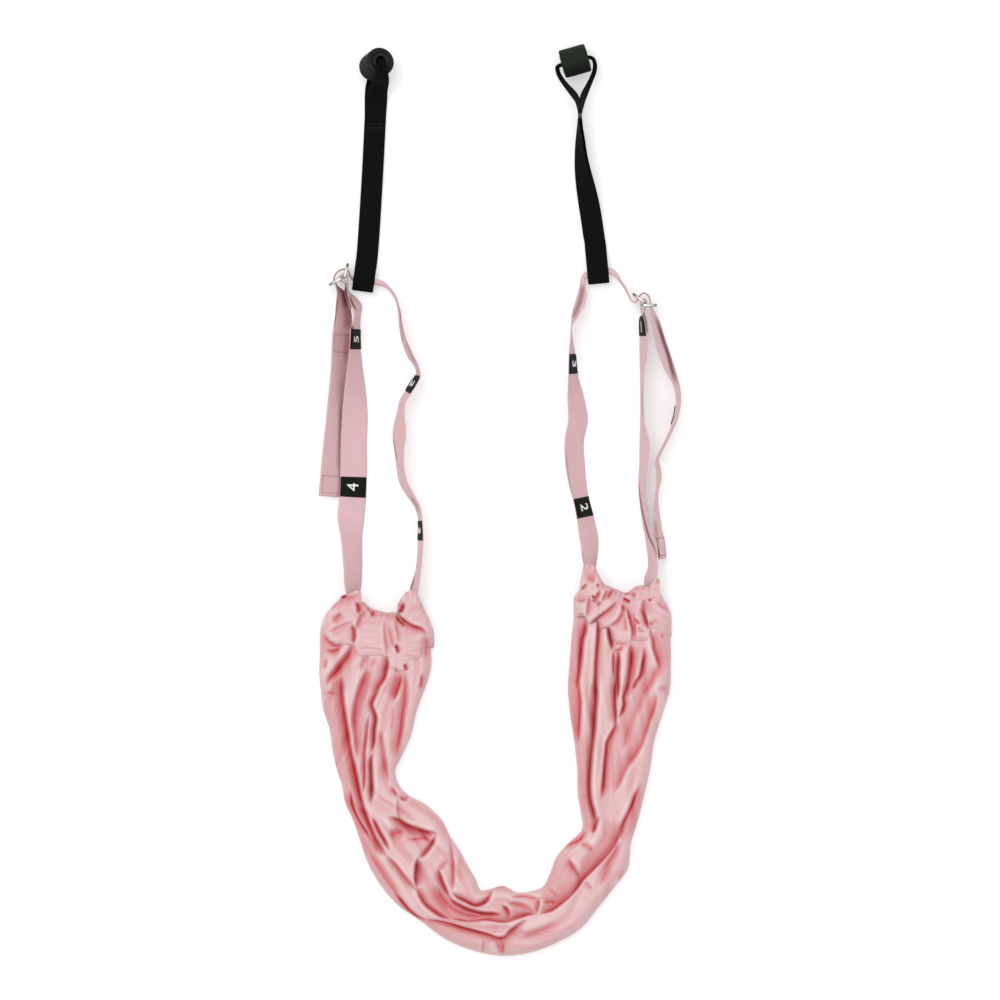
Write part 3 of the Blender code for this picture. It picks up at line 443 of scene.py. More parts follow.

# The satin's creases: depth, width of the gentle side, width of the steep side, redness of the painted
# shade in it, the side that slopes gently, and the line that the crease follows
CREASES = [
    (15, 9, 3, 1.0, "W", [
        (-223, -247), (-221, -281), (-216, -314), (-210, -351), (-202, -386), (-195, -421), (-188, -443),
        (-175, -474), (-160, -499),
    ]),
    (9, 9, 3.5, 0.75, "E", [
        (-186, -240), (-192, -255), (-201, -284), (-204, -306), (-202, -330), (-199, -362),
    ]),
    (13, 7, 2.5, 1.0, "W", [
        (-157, -219), (-158, -232), (-160, -240), (-163, -251), (-171, -263), (-178, -278),
    ]),
    (13, 4, 2.5, 1.0, "W", [
        (-167, -263), (-177, -278), (-180, -288), (-177, -297), (-174, -307), (-176, -321), (-177, -338),
        (-180, -353),
    ]),
    (7, 3.5, 2, 0.7, "W", [
        (-182, -300), (-186, -317), (-188, -336), (-190, -353), (-190, -374), (-190, -396), (-192, -413),
    ]),
    (17, 3.2, 3.0, 1.0, "W", [(-179, -357), (-181, -367), (-181, -381), (-180, -403), (-181, -424)]),
    (8, 5, 3.5, 0.7, "W", [(-168, -324), (-165, -344), (-163, -364), (-160, -381), (-156, -396)]),
    (12, 8, 3, 1.0, "W", [(-138, -244), (-141, -258), (-145, -270), (-150, -282)]),
    (8, 8, 4, 0.75, "W", [
        (-133, -241), (-133, -267), (-134, -284), (-137, -300), (-139, -321), (-142, -341), (-145, -361),
    ]),
    (3.5, 3, 3, 0.4, "W", [(-149, -287), (-150, -310), (-152, -333)]),
    (6, 3, 2.5, 0.8, "E", [(-109, -250), (-110, -257), (-113, -265)]),
    (5, 6, 3, 0.6, "S", [(-247, -271), (-233, -271), (-222, -278)]),
    (3.5, 7, 5, 0.35, "E", [(-232, -363), (-226, -381), (-220, -398)]),
    (13, 5, 3, 1.0, "W", [
        (-210, -404), (-207, -426), (-202, -440), (-195, -453), (-186, -467), (-179, -478),
    ]),
    (5, 3, 2, 0.6, "W", [(-152, -403), (-144, -415)]),
    (5, 3, 2.5, 0.6, "N", [(-140, -415), (-134, -420), (-129, -414)]),
    (12, 11, 2.2, 1.0, "S", [(-140, -446), (-132, -454), (-117, -461), (-102, -465), (-88, -467)]),
    (5, 9, 2, 0.45, "E", [(-143, -419), (-142, -438), (-140, -454)]),
    (7, 4, 2.5, 0.8, "S", [(-111, -469), (-105, -472), (-100, -478)]),
    (13, 6, 4.5, 1.0, "E", [
        (-206, -203), (-211, -216), (-220, -228), (-228, -239), (-237, -249), (-245, -260),
    ]),
    (4, 3, 2, 0.6, "W", [(-243, -222), (-245, -238)]),
    (9, 4, 2.5, 1.0, "E", [(-201, -144), (-198, -151), (-198, -160)]),
    (11, 3, 2.2, 1.0, "W", [(-208, -175), (-204, -185), (-205, -202)]),
    (7, 7, 4, 0.6, "S", [(-234, -171), (-227, -165), (-222, -159)]),
    (8, 4, 2, 1.0, "S", [(-223, -137), (-212, -135)]),
    (8, 7, 3, 0.8, "S", [(-247, -187), (-241, -198), (-228, -205), (-219, -201)]),
    (6, 4, 2, 0.8, "S", [(-244, -211), (-232, -212), (-222, -205)]),
    (5, 6, 2, 0.35, "S", [(-238, -185), (-224, -178), (-207, -171)]),
    (5, 7, 2.5, 0.3, "S", [(-237, -155), (-222, -143), (-206, -138), (-196, -131)]),
    (6, 3, 2, 0.6, "E", [(-194, -158), (-198, -172), (-202, -185)]),
    (5, 2.5, 1.8, 0.5, "E", [(-189, -155), (-194, -167)]),
    (5, 2.5, 1.8, 0.6, "E", [(-186, -150), (-180, -160)]),
    (9, 2.5, 1.8, 1.0, "E", [(-176, -156), (-180, -164)]),
    (9, 3, 2, 1.0, "S", [(-148, -160), (-140, -171), (-129, -178)]),
    (10, 5, 2, 0.9, "S", [(-146, -158), (-135, -169), (-122, -177), (-107, -183), (-104, -190)]),
    (11, 5, 3, 1.0, "W", [(-135, -145), (-138, -155), (-144, -157)]),
    (4, 3, 2, 0.55, "E", [(-162, -172), (-160, -197), (-158, -219)]),
    (4, 3, 2, 0.45, "E", [(-156, -177), (-152, -196), (-147, -210)]),
    (9, 2.5, 2, 0.9, "E", [(-146, -203), (-142, -215)]),
    (4, 3, 2, 0.4, "E", [(-148, -165), (-143, -185), (-141, -201)]),
    (5, 6, 5, 0.55, "W", [(-105, -191), (-103, -205), (-105, -223)]),
    (7, 3, 2, 0.8, "E", [(-109, -245), (-111, -259)]),
    (9, 3, 2, 0.9, "E", [(-134, -230), (-131, -240)]),
    (8, 6, 4, 0.7, "E", [(-185, -238), (-191, -256), (-200, -282)]),
    (5, 5, 4, 0.5, "E", [(-223, -245), (-219, -262), (-223, -278)]),
    (4, 5, 4, 0.4, "E", [(-183, -220), (-191, -229), (-196, -239)]),
    (4, 5, 4, 0.4, "E", [(-173, -223), (-181, -235)]),
    (1, 1, 1, 0.3, "S", [(-198, -207), (-180, -208), (-160, -210)]),
    (1, 1, 1, 0.3, "S", [(-156, -233), (-145, -237), (-133, -240)]),
    (1, 1, 1, 0.25, "S", [(-133, -218), (-122, -219), (-112, -218)]),
    (15, 7, 3, 1.0, "W", [
        (120, -167), (119, -182), (115, -197), (113, -216), (111, -235), (108, -260), (106, -271),
    ]),
    (12, 3.5, 2.5, 1.0, "E", [
        (138, -166), (138, -182), (137, -197), (135, -222), (134, -247), (132, -281),
    ]),
    (13, 3, 2.5, 1.0, "E", [(152, -177), (154, -192), (156, -202), (157, -210)]),
    (5, 2, 1.8, 0.8, "E", [(159, -211), (159, -228), (159, -250)]),
    (16, 3.5, 2.5, 1.0, "W", [(166, -211), (166, -226), (165, -241), (165, -260), (164, -280)]),
    (15, 6, 4, 1.0, "E", [
        (183, -203), (184, -216), (183, -232), (181, -247), (179, -260), (175, -272), (173, -281),
    ]),
    (11, 4, 2.5, 0.95, "E", [
        (202, -208), (202, -220), (200, -232), (197, -246), (190, -256), (183, -266),
    ]),
    (11, 3, 2.2, 1.0, "W", [(197, -151), (202, -162), (205, -172), (209, -182)]),
    (10, 6, 2.5, 0.95, "E", [
        (210, -183), (214, -196), (216, -210), (220, -222), (223, -235), (220, -241),
    ]),
    (7, 9, 5, 0.7, "W", [(222, -226), (222, -235), (218, -243), (213, -252), (206, -263), (200, -280)]),
    (4, 3, 2, 0.5, "E", [(225, -189), (229, -194)]),
    (4, 4, 3, 0.4, "S", [(223, -263), (233, -265)]),
    (5, 2.5, 1.8, 0.6, "E", [(114, -126), (122, -118)]),
    (4, 2.5, 1.8, 0.6, "E", [(135, -122), (139, -119)]),
    (9, 2.8, 2.2, 1.0, "E", [(130, -138), (132, -135)]),
    (6, 2.5, 2, 0.8, "E", [(140, -128), (135, -137), (128, -144)]),
    (5, 2.5, 2, 0.7, "E", [(151, -127), (146, -137), (143, -143)]),
    (6, 2.5, 2, 0.8, "E", [(159, -125), (152, -135), (149, -140)]),
    (5, 2.5, 2, 0.6, "S", [(141, -143), (136, -149)]),
    (5, 2.5, 2, 0.6, "S", [(131, -144), (136, -140)]),
    (6, 3, 2, 0.6, "E", [(125, -135), (124, -150), (122, -165)]),
    (8, 4, 2, 0.8, "S", [(164, -143), (154, -153), (145, -160), (138, -165), (125, -174)]),
    (7, 4, 2, 0.7, "E", [(172, -148), (171, -160), (164, -171), (153, -178)]),
    (9, 3, 2, 0.9, "E", [(176, -150), (180, -160), (183, -171), (186, -183), (185, -198)]),
    (4, 3, 2, 0.5, "W", [(174, -162), (176, -177), (177, -186)]),
    (6, 3, 2, 0.7, "W", [(187, -158), (188, -172), (189, -191), (190, -198)]),
    (6, 2.5, 1.8, 0.7, "S", [(189, -167), (195, -175)]),
    (3, 2.5, 1.8, 0.4, "S", [(192, -184), (203, -185)]),
    (3, 2.5, 1.8, 0.4, "S", [(192, -181), (198, -181)]),
    (8, 3, 2, 0.9, "S", [(172, -138), (183, -144)]),
    (6, 3, 2, 0.8, "E", [(177, -131), (179, -134)]),
    (5, 3, 2, 0.7, "S", [(184, -131), (190, -135)]),
    (6, 3, 2, 0.8, "E", [(172, -147), (173, -158)]),
    (6, 3, 2, 0.6, "E", [(209, -139), (211, -143)]),
    (6, 5, 2.5, 0.7, "E", [(202, -140), (201, -150), (204, -165)]),
    (4, 4, 2, 0.4, "N", [(218, -143), (228, -151), (237, -157)]),
    (5, 6, 4, 0.5, "N", [(122, -110), (133, -114)]),
    (5, 5, 3, 0.4, "N", [(105, -140), (114, -142), (123, -140)]),
    (4, 3, 2, 0.6, "S", [(159, -200), (170, -202), (180, -202)]),
    (5, 2.5, 2, 0.8, "S", [(160, -210), (166, -211), (173, -205)]),
    (1, 1, 1, 0.25, "S", [(105, -160), (113, -160), (120, -159)]),
    (1, 1, 1, 0.25, "S", [(188, -194), (198, -194), (207, -194)]),
    (5, 5, 4, 0.5, "E", [(210, -171), (213, -177)]),
    (18, 5, 3, 1.0, "W", [
        (134, -250), (134, -278), (132, -303), (130, -331), (127, -360), (125, -388), (125, -407),
        (127, -424), (131, -438), (134, -456),
    ]),
    (15, 4.5, 2, 1.0, "W", [(164, -250), (161, -268), (161, -288), (162, -303), (161, -318)]),
    (10, 6, 2, 0.95, "E", [
        (163, -307), (161, -319), (155, -330), (150, -341), (148, -360), (146, -381), (144, -403),
        (142, -417),
    ]),
    (11, 3.5, 2, 1.0, "E", [
        (180, -253), (177, -266), (173, -276), (174, -287), (171, -297), (166, -306),
    ]),
    (7, 3, 2, 0.9, "E", [(192, -256), (184, -266)]),
    (10, 7, 3, 0.9, "W", [(112, -250), (110, -267), (112, -281), (111, -303), (110, -324), (110, -340)]),
    (6, 8, 6, 0.5, "W", [
        (205, -253), (200, -274), (193, -293), (185, -307), (180, -321), (175, -341), (170, -355),
    ]),
    (8, 10, 3, 0.7, "W", [
        (219, -271), (215, -293), (207, -314), (203, -328), (197, -344), (189, -357), (179, -370),
        (170, -388), (161, -410),
    ]),
    (3, 4, 3, 0.4, "S", [(220, -265), (230, -265)]),
    (11, 7, 2.5, 0.95, "E", [
        (197, -400), (190, -413), (185, -427), (179, -440), (172, -455), (170, -467), (168, -478),
    ]),
    (4, 4, 3, 0.45, "S", [(115, -414), (124, -419)]),
    (15, 10, 2.5, 1.0, "S", [
        (-156, -445), (-141, -449), (-132, -456), (-120, -460), (-107, -465), (-96, -467), (-88, -468),
    ]),
    (13, 8, 7, 0.85, "S", [(-154, -471), (-142, -466), (-133, -464)]),
    (6, 4, 3, 0.8, "S", [(-133, -475), (-121, -476), (-108, -474), (-100, -477), (-93, -482)]),
    (12, 3.5, 2.5, 1.0, "W", [(-90, -469), (-93, -477), (-99, -487), (-107, -497), (-114, -503)]),
    (18, 7.5, 2.2, 1.0, "E", [(-115, -502), (-117, -515), (-118, -529), (-117, -543)]),
    (12, 5, 2.5, 0.95, "E", [
        (-117, -542), (-111, -556), (-104, -567), (-93, -576), (-80, -584), (-67, -587),
    ]),
    (13, 6, 2.5, 1.0, "W", [(-87, -517), (-82, -533), (-76, -547), (-71, -558)]),
    (15, 9, 2.2, 1.0, "S", [
        (-73, -554), (-67, -562), (-55, -569), (-41, -575), (-25, -579), (-7, -580), (4, -582),
    ]),
    (13, 14, 8, 0.8, "W", [(-89, -538), (-82, -556), (-67, -572), (-44, -582), (-17, -584)]),
    (7, 3.5, 2.5, 0.7, "W", [(-71, -479), (-68, -493), (-66, -511), (-66, -529), (-67, -549)]),
    (11, 4, 2.5, 0.95, "N", [
        (-67, -549), (-60, -556), (-48, -562), (-35, -568), (-25, -566), (-17, -559), (-13, -550),
        (-12, -544),
    ]),
    (10, 5, 2, 1.0, "W", [(3, -568), (10, -574), (12, -582), (8, -590)]),
    (7, 5, 2.5, 0.7, "S", [(16, -557), (25, -556), (36, -556), (47, -558), (55, -561)]),
    (8, 4, 2, 0.75, "W", [(54, -559), (53, -570), (50, -579)]),
    (6, 6, 4, 0.6, "S", [(10, -566), (27, -567), (40, -574), (51, -579)]),
    (5, 5, 3, 0.6, "S", [(-12, -547), (-3, -542), (6, -541), (14, -544), (18, -550)]),
    (12, 8, 1.6, 0.85, "N", [
        (-71, -585), (-60, -588), (-46, -590), (-32, -589), (-21, -588), (-7, -590), (8, -591),
        (24, -586), (40, -581), (51, -580),
    ]),
    (9, 5, 2.5, 0.7, "W", [(-160, -498), (-145, -514), (-132, -531), (-117, -547)]),
    (10, 4, 2.5, 0.95, "W", [(-179, -445), (-169, -465), (-162, -477), (-155, -491)]),
    (6, 5, 5, 0.6, "W", [(-183, -493), (-171, -515), (-157, -536), (-142, -556)]),
    (12, 4.5, 2.5, 0.95, "S", [(-148, -549), (-137, -563), (-125, -576), (-110, -586), (-100, -589)]),
    (11, 6, 1.8, 0.85, "S", [
        (-107, -587), (-96, -589), (-78, -592), (-57, -598), (-35, -604), (-14, -610), (-3, -614),
        (6, -613), (15, -604), (25, -596), (36, -589),
    ]),
    (9, 5, 5, 0.85, "E", [(0, -610), (3, -620), (4, -636)]),
    (6, 3, 3, 0.7, "E", [(-6, -616), (-2, -625), (3, -636)]),
    (2.5, 1.8, 1.8, 0.45, "E", [(-24, -610), (-23, -622), (-25, -634)]),
    (1.5, 1.5, 1.5, 0.35, "E", [(-7, -592), (-7, -600), (-9, -610)]),
    (2, 2, 1.5, 0.35, "E", [(-28, -588), (-33, -598)]),
    (3, 5, 4, 0.45, "E", [(-176, -497), (-164, -520), (-149, -544)]),
    (3, 5, 5, 0.35, "E", [(-53, -500), (-58, -513), (-53, -534)]),
    (4, 3, 3, 0.5, "E", [(-73, -505), (-82, -515), (-87, -520)]),
    (13, 10, 1.8, 0.85, "W", [
        (172, -449), (167, -468), (160, -484), (152, -495), (140, -508), (124, -524), (115, -533),
        (108, -543), (97, -556), (86, -565), (72, -575), (56, -580),
    ]),
    (9, 6, 3, 0.95, "W", [(95, -503), (102, -515), (109, -525), (113, -534)]),
    (4, 3, 2.5, 0.55, "S", [(68, -544), (76, -552), (84, -560)]),
    (7, 7, 5, 0.8, "N", [(61, -566), (70, -563), (80, -566)]),
    (7, 6, 6, 0.65, "W", [(168, -477), (159, -497), (151, -511), (147, -525), (140, -540)]),
    (3.5, 3, 2.5, 0.5, "S", [(118, -534), (123, -540), (128, -547)]),
    (5, 5, 4, 0.7, "S", [(113, -482), (124, -487), (130, -494)]),
    (8, 4, 4, 0.8, "N", [(120, -463), (112, -476), (97, -483), (86, -490)]),
    (11, 5, 3, 1.0, "W", [(138, -443), (134, -454), (130, -468)]),
    (3, 4, 4, 0.4, "W", [(171, -519), (167, -534)]),
    (4, 5, 5, 0.4, "S", [(26, -615), (52, -606), (83, -592)]),
]
COMPASS = {"N": (0.0, 1.0), "S": (0.0, -1.0), "E": (1.0, 0.0), "W": (-1.0, 0.0)}

# Each casing's gathered edge, its hem on the panel, and the x and reach of its two mouths
CASING_SHAPES = {
    "left": {
        "top": [
            (-252, -211), (-252, -197), (-251, -181), (-246, -165), (-239, -154), (-228, -142), (-220, -134),
            (-210, -131), (-198, -127), (-194, -131), (-194, -142), (-189, -144), (-185, -149), (-178, -153),
            (-168, -156), (-160, -158), (-147, -160), (-144, -153), (-143, -146), (-137, -137), (-132, -130),
            (-126, -128), (-118, -130), (-113, -137), (-105, -155), (-97, -172), (-93, -185), (-92, -205),
        ],
        "hem": [
            (-252, -221), (-247, -220), (-240, -215), (-228, -212), (-218, -203), (-216, -202), (-208, -203),
            (-205, -203), (-204, -210), (-201, -219), (-198, -220), (-178, -219), (-158, -219), (-157, -221),
            (-158, -235), (-156, -238), (-144, -242), (-130, -244), (-131, -235), (-131, -226), (-125, -224),
            (-111, -223), (-110, -210), (-105, -211), (-94, -208),
        ],
        "mouths": [(-208, 15.4), (-127, 11.2)],
        "soft_hems": [(-236, 16.8), (-101, 9.1)],
    },
    "right": {
        "top": [
            (103, -138), (106, -133), (110, -128), (112, -117), (115, -103), (117, -93), (124, -90),
            (133, -95), (138, -105), (146, -118), (154, -122), (164, -126), (174, -130), (180, -129),
            (188, -123), (197, -120), (202, -120.5), (207, -123), (212, -119), (217, -111.5), (220, -110.5),
            (223, -112), (224, -128), (230, -141), (238, -155), (240, -165),
        ],
        "hem": [
            (103, -164), (112, -164), (120, -163), (121, -166), (123, -173), (126, -174), (132, -170),
            (137, -167), (138, -182), (140, -184), (146, -180), (152, -177), (154, -185), (156, -193),
            (158, -197), (164, -198), (172, -199), (181, -201), (183, -200), (185, -195), (187, -196),
            (190, -198), (199, -198), (208, -198), (209, -191), (211, -183), (216, -181), (225, -187),
            (232, -191), (240, -192),
        ],
        "mouths": [(126, 14), (213, 11.2)],
        "soft_hems": [(226, 15.4)],
    },
}

# Painted shade on the straps, dark red where a fold or a ply's inner face lies in shade: reach, strength and
# the line
STRAP_SHADES = {
    "left": [
        (4.5, 0.8, [(-219, 301), (-217, 283), (-215, 264)]),
        (5.5, 0.45, [(-214, 268), (-213, 255), (-214, 238)]),
        (3.5, 0.35, [(-214, 238), (-215, 214), (-216, 190)]),
        (1.0, 0.8, [(-227, 288), (-228, 273), (-230, 257), (-233, 240)]),
        (1.5, 1.0, [(-210.5, 289), (-209, 280), (-205.5, 272), (-201, 265)]),
        (2.2, 0.9, [(-207, 244), (-207, 236)]),
        (2.4, 0.9, [(-143, 271), (-141, 260), (-139, 244), (-137, 232), (-135, 219)]),
        (2.6, 0.45, [(-133, 225), (-127, 211), (-121, 196), (-116, 186)]),
        (1.0, 0.85, [(-119, -108), (-122, -117), (-125, -128)]),
        (3.0, 0.35, [(-223, 139), (-225, 88), (-227, 35)]),
        (0.8, 0.6, [(-150, 88), (-147, 71), (-144, 53)]),
        (1.2, 0.9, [(-125, 4), (-118, -6), (-113, -18)]),
    ],
    "right": [
        (3.6, 0.6, [(116, 304), (115, 290), (111.5, 276), (105.5, 261), (100, 247)]),
        (3.0, 0.92, [(216, 260), (222.8, 242), (229.2, 221), (234.5, 206), (242.2, 177), (248.2, 158)]),
        (1.1, 0.6, [(199, 164), (199, 146), (200, 130), (201, 111)]),
        (1.0, 0.5, [(217, 53), (217.5, 41), (218, 28), (216, 14)]),
        (2.0, 0.8, [(205, 268), (205, 260)]),
        (1.0, 0.8, [(116, -85), (117, -93)]),
        (1.3, 0.95, [
            (193, 32), (195, 8), (199, -15), (203.5, -34), (208, -51), (213, -61), (217, -71), (220.5, -82),
        ]),
        (1.5, 0.95, [(216, -47), (219, -60), (221.5, -72), (224, -88)]),
        (2.5, 0.4, [(217, -28), (219, -50), (221, -64)]),
        (0.8, 0.5, [(91, 76), (95, 37), (102, 1)]),
        (0.9, 0.7, [(110, -62), (115, -77), (117, -93)]),
    ],
}

# Anchors whose legs lean: the middle between them, the reach along Y, and the lean in radians
LEG_LEANS = {"right": (0.113, 0.535, 0.622, 0.42)}

# Where each anchor's webbing is lapped and tacked
LAP_PLACES = {"left": (-159.6, 525.7), "right": (109.2, 531.3)}

# The panel's ends, which are tucked under the casings
PANEL_UNDER_LEFT = [((-241, -187), (-104, -184)), ((-248, -202), (-99, -198)), ((-252, -222), (-96, -217))]
PANEL_UNDER_RIGHT = [((238, -184), (101, -184)), ((235, -166), (104.5, -157))]

# Soft light from straight above and a little from the left
WORLD_LIGHT = 0.79
LAMP_WAY = (-0.3, 0.4, 1.0)
LAMP_POWER = 0.85
LAMP_SPREAD = 35.0
PAPER_GLOW = 0.42


def linear(code):
    """A colour written as sRGB hex, in the linear values that a shader takes."""
    values = [int(code[i:i + 2], 16) / 255 for i in (1, 3, 5)]
    return tuple(v / 12.92 if v <= 0.04045 else ((v + 0.055) / 1.055) ** 2.4 for v in values) + (1.0,)


def colour_of(value):
    return (*value, 1.0)


def length_property(name, description, default, low, high):
    return bpy.props.FloatProperty(
        name=name, description=description, default=default, min=low, max=high,
        subtype="DISTANCE", unit="LENGTH",
    )


def colour_property(name, description, code):
    return bpy.props.FloatVectorProperty(
        name=name, description=description, default=linear(code)[:3], min=0.0, max=1.0,
        size=3, subtype="COLOR",
    )


class SlingSizes(bpy.types.PropertyGroup):
    """Sizes that change how the sling's pieces are drawn."""

    satin_height: length_property(
        "Satin height", "How high the gathered satin stands", 0.031, 0.01, 0.036,
    )
    satin_edge: length_property(
        "Satin edge", "Radius of the satin's rounded edges", 0.016, 0.004, 0.03,
    )
    ripple: length_property(
        "Ripple", "Height of the long soft waves in the satin", 0.0016, 0.0, 0.006,
    )
    stitch_spacing: length_property(
        "Stitch spacing", "Distance from one stitch to the next", 0.0026, 0.001, 0.01,
    )
    stitch_length: length_property(
        "Stitch length", "Visible length of one stitch", 0.0021, 0.0005, 0.01,
    )
    thread_radius: length_property(
        "Thread radius", "Radius of the sewing thread", 0.00035, 0.0001, 0.001,
    )


class SlingColours(bpy.types.PropertyGroup):
    """Colours of the sling's materials."""

    webbing: colour_property("Webbing", "Rose polyester webbing", "#E6C0C4")
    satin: colour_property("Satin", "Rose satin where it catches the light", "#DFB1B3")
    # Painted shade and highlight of the satin: its colour in folds, on crests and in the narrowest slits
    satin_fold_shade: colour_property(
        "Satin in folds", "Rose satin deep in a fold, where its own colour is thrown back", "#CE4D54",
    )
    satin_crest_highlight: colour_property(
        "Satin on crests", "Rose satin on the crests of its folds, nearly white", "#EBCBC9",
    )
    satin_slit_shade: colour_property(
        "Satin in slits", "Rose satin in the narrowest slits, where little light comes", "#AC222C",
    )
    anchor: colour_property("Door anchor", "Black polyester webbing", "#0E110E")
    foam: colour_property("Foam", "Charcoal foam rubber", "#20261F")
    tag: colour_property("Tag", "Woven black tag", "#191D18")
    thread: colour_property("Thread", "Sewing thread, a deeper rose than the webbing", "#82404A")


def across_at(way, lean):
    """The way over the webbing's width, where it runs along way and leans from flat."""
    left = Vector((-way[1], way[0], 0.0)).normalized()
    angle = math.radians(lean)
    return left * math.cos(angle) + UP * math.sin(angle)


def resting_height(width, thickness, lean):
    angle = math.radians(lean)
    return (width * abs(math.sin(angle)) + thickness * abs(math.cos(angle))) / 2 + STRAP_LIFT


def row(place, across, width, thickness):
    return [*place, *across, width, thickness]


def way_along(points, i):
    before = points[max(i - 1, 0)]
    after = points[min(i + 1, len(points) - 1)]
    return (after[0] - before[0], after[1] - before[1])


def lying_rows(leg):
    """Rows for a leg that rests on the surface on its lower edge."""
    rows = []
    for i, (x, y, lean) in enumerate(leg):
        height = resting_height(WEBBING_WIDTH, WEBBING_THICKNESS, lean)
        across = across_at(way_along(leg, i), lean)
        rows.append(row((x * MM, y * MM, height), across, WEBBING_WIDTH, WEBBING_THICKNESS))
    return rows


def placed_rows(leg):
    """Rows of x, y, z, lean, width and thickness for where the webbing is crumpled."""
    rows = []
    for i, (x, y, z, lean, width, thickness) in enumerate(leg):
        across = across_at(way_along(leg, i), lean)
        rows.append(row((x * MM, y * MM, z * MM), across, width * MM, thickness * MM))
    return rows


def knot_after(knot, a, b):
    """The next knot of a centripetal curve, which doesn't overshoot where places are uneven."""
    return knot + math.sqrt(max(np.linalg.norm(b[:3] - a[:3]), MM * MM))


def between(a, b, c, d, share):
    """A row on the smooth curve through four rows, at a share of the way from b to c."""
    ta = 0.0
    tb = knot_after(ta, a, b)
    tc = knot_after(tb, b, c)
    td = knot_after(tc, c, d)
    t = tb + (tc - tb) * share
    ab = (a * (tb - t) + b * (t - ta)) / (tb - ta)
    bc = (b * (tc - t) + c * (t - tb)) / (tc - tb)
    cd = (c * (td - t) + d * (t - tc)) / (td - tc)
    abc = (ab * (tc - t) + bc * (t - ta)) / (tc - ta)
    bcd = (bc * (td - t) + cd * (t - tb)) / (td - tb)
    return (abc * (tc - t) + bcd * (t - tb)) / (tc - tb)


def smooth(rows, steps, closed):
    """The rows again with more between them, on one smooth curve."""
    table = np.array(rows)
    count = len(table)
    if closed:
        padded = np.vstack([table[-1:], table, table[:2]])
    else:
        padded = np.vstack([2 * table[0] - table[1], table, 2 * table[-1] - table[-2]])
    result = []
    for i in range(count if closed else count - 1):
        a, b, c, d = padded[i:i + 4]
        result.extend(between(a, b, c, d, step / steps) for step in range(steps))
    if not closed:
        result.append(table[-1])
    return np.array(result)


def frames(table, closed):
    """For each row its place, across, normal, width and thickness."""
    found = []
    count = len(table)
    for i in range(count):
        if closed:
            before, after = table[i - 1], table[(i + 1) % count]
        else:
            before, after = table[max(i - 1, 0)], table[min(i + 1, count - 1)]
        way = Vector(after[:3] - before[:3]).normalized()
        across = Vector(table[i][3:6]).normalized()
        normal = way.cross(across).normalized()
        found.append((Vector(table[i][:3]), across, normal, table[i][6], table[i][7]))
    return found


def bar_rows(side):
    """The sewn end's turn round both straight bars of the D-rings."""
    points = []
    for bar, degrees in side["bar_turn"]:
        angle = math.radians(degrees)
        x, y = side["bars"][bar]
        points.append((
            x * MM + BAR_LOOP_RADIUS * math.cos(angle),
            y * MM + BAR_LOOP_RADIUS * math.sin(angle),
        ))
    lean = side["main_start"][0][3]
    rows = []
    for i, (x, y) in enumerate(points):
        across = across_at(way_along(points, i), math.copysign(90, lean))
        rows.append(row((x, y, RING_CENTRE), across, WEBBING_WIDTH, WEBBING_THICKNESS))
    return rows


def flap_rows(leg):
    """The sewn end beside the start of the leg that it is stitched to, as long as the flap."""
    done = 0.0
    rows = []
    found = frames(leg, False)
    for i, (place, across, normal, width, thickness) in enumerate(found):
        if i:
            done += (place - found[i - 1][0]).length
        if done > FLAP_LENGTH:
            break
        beside = place - normal * (thickness + FLAP_GAP)
        rows.append(row(beside, across, width, thickness))
    return rows[::-1]


def bundle_rows(side, direction):
    """The straight gathered stretch through the anchor's fold, along its hinge axis."""
    (x, y), (ux, uy) = side["bundle"]
    across = across_at((ux * direction, uy * direction), side["main_start"][0][3])
    rows = []
    for share in STRAIGHT_SHARES:
        reach = share * direction * side["bundle_reach"]
        place = ((x + ux * reach) * MM, (y + uy * reach) * MM, BUNDLE_HEIGHT)
        rows.append(row(place, across, BUNDLE_DIAMETER, BUNDLE_DIAMETER))
    return rows


def tunnel_rows(side):
    start, end, y = side["tunnel"]
    across = across_at((end - start, 0.0), side["casing_in"][-1][3])
    rows = []
    for share in STRAIGHT_SHARES:
        x = (start + end) / 2 + share * (end - start) / 2
        place = (x * MM, y * MM, CASING_AXIS_HEIGHT)
        rows.append(row(place, across, BUNDLE_DIAMETER, BUNDLE_DIAMETER))
    return rows


def strap_parts(side, direction):
    """The strap's rows in order, and where each leg starts among them."""
    main = placed_rows(side["main_start"]) + lying_rows(side["main"])
    parts = [
        ("flap", flap_rows(np.array(main))),
        ("bars", bar_rows(side)),
        ("main", main),
        ("casing", placed_rows(side["casing_in"]) + tunnel_rows(side) + placed_rows(side["casing_out"])),
        ("back", lying_rows(side["back"])),
        ("bundle", placed_rows(side["to_bundle"]) + bundle_rows(side, direction)),
        ("threaded", placed_rows(side["threaded"])),
        ("tail", lying_rows(side["tail"])),
    ]
    starts = {}
    rows = []
    for name, found in parts:
        starts[name] = (len(rows), len(rows) + len(found))
        rows.extend(found)
    return rows, starts


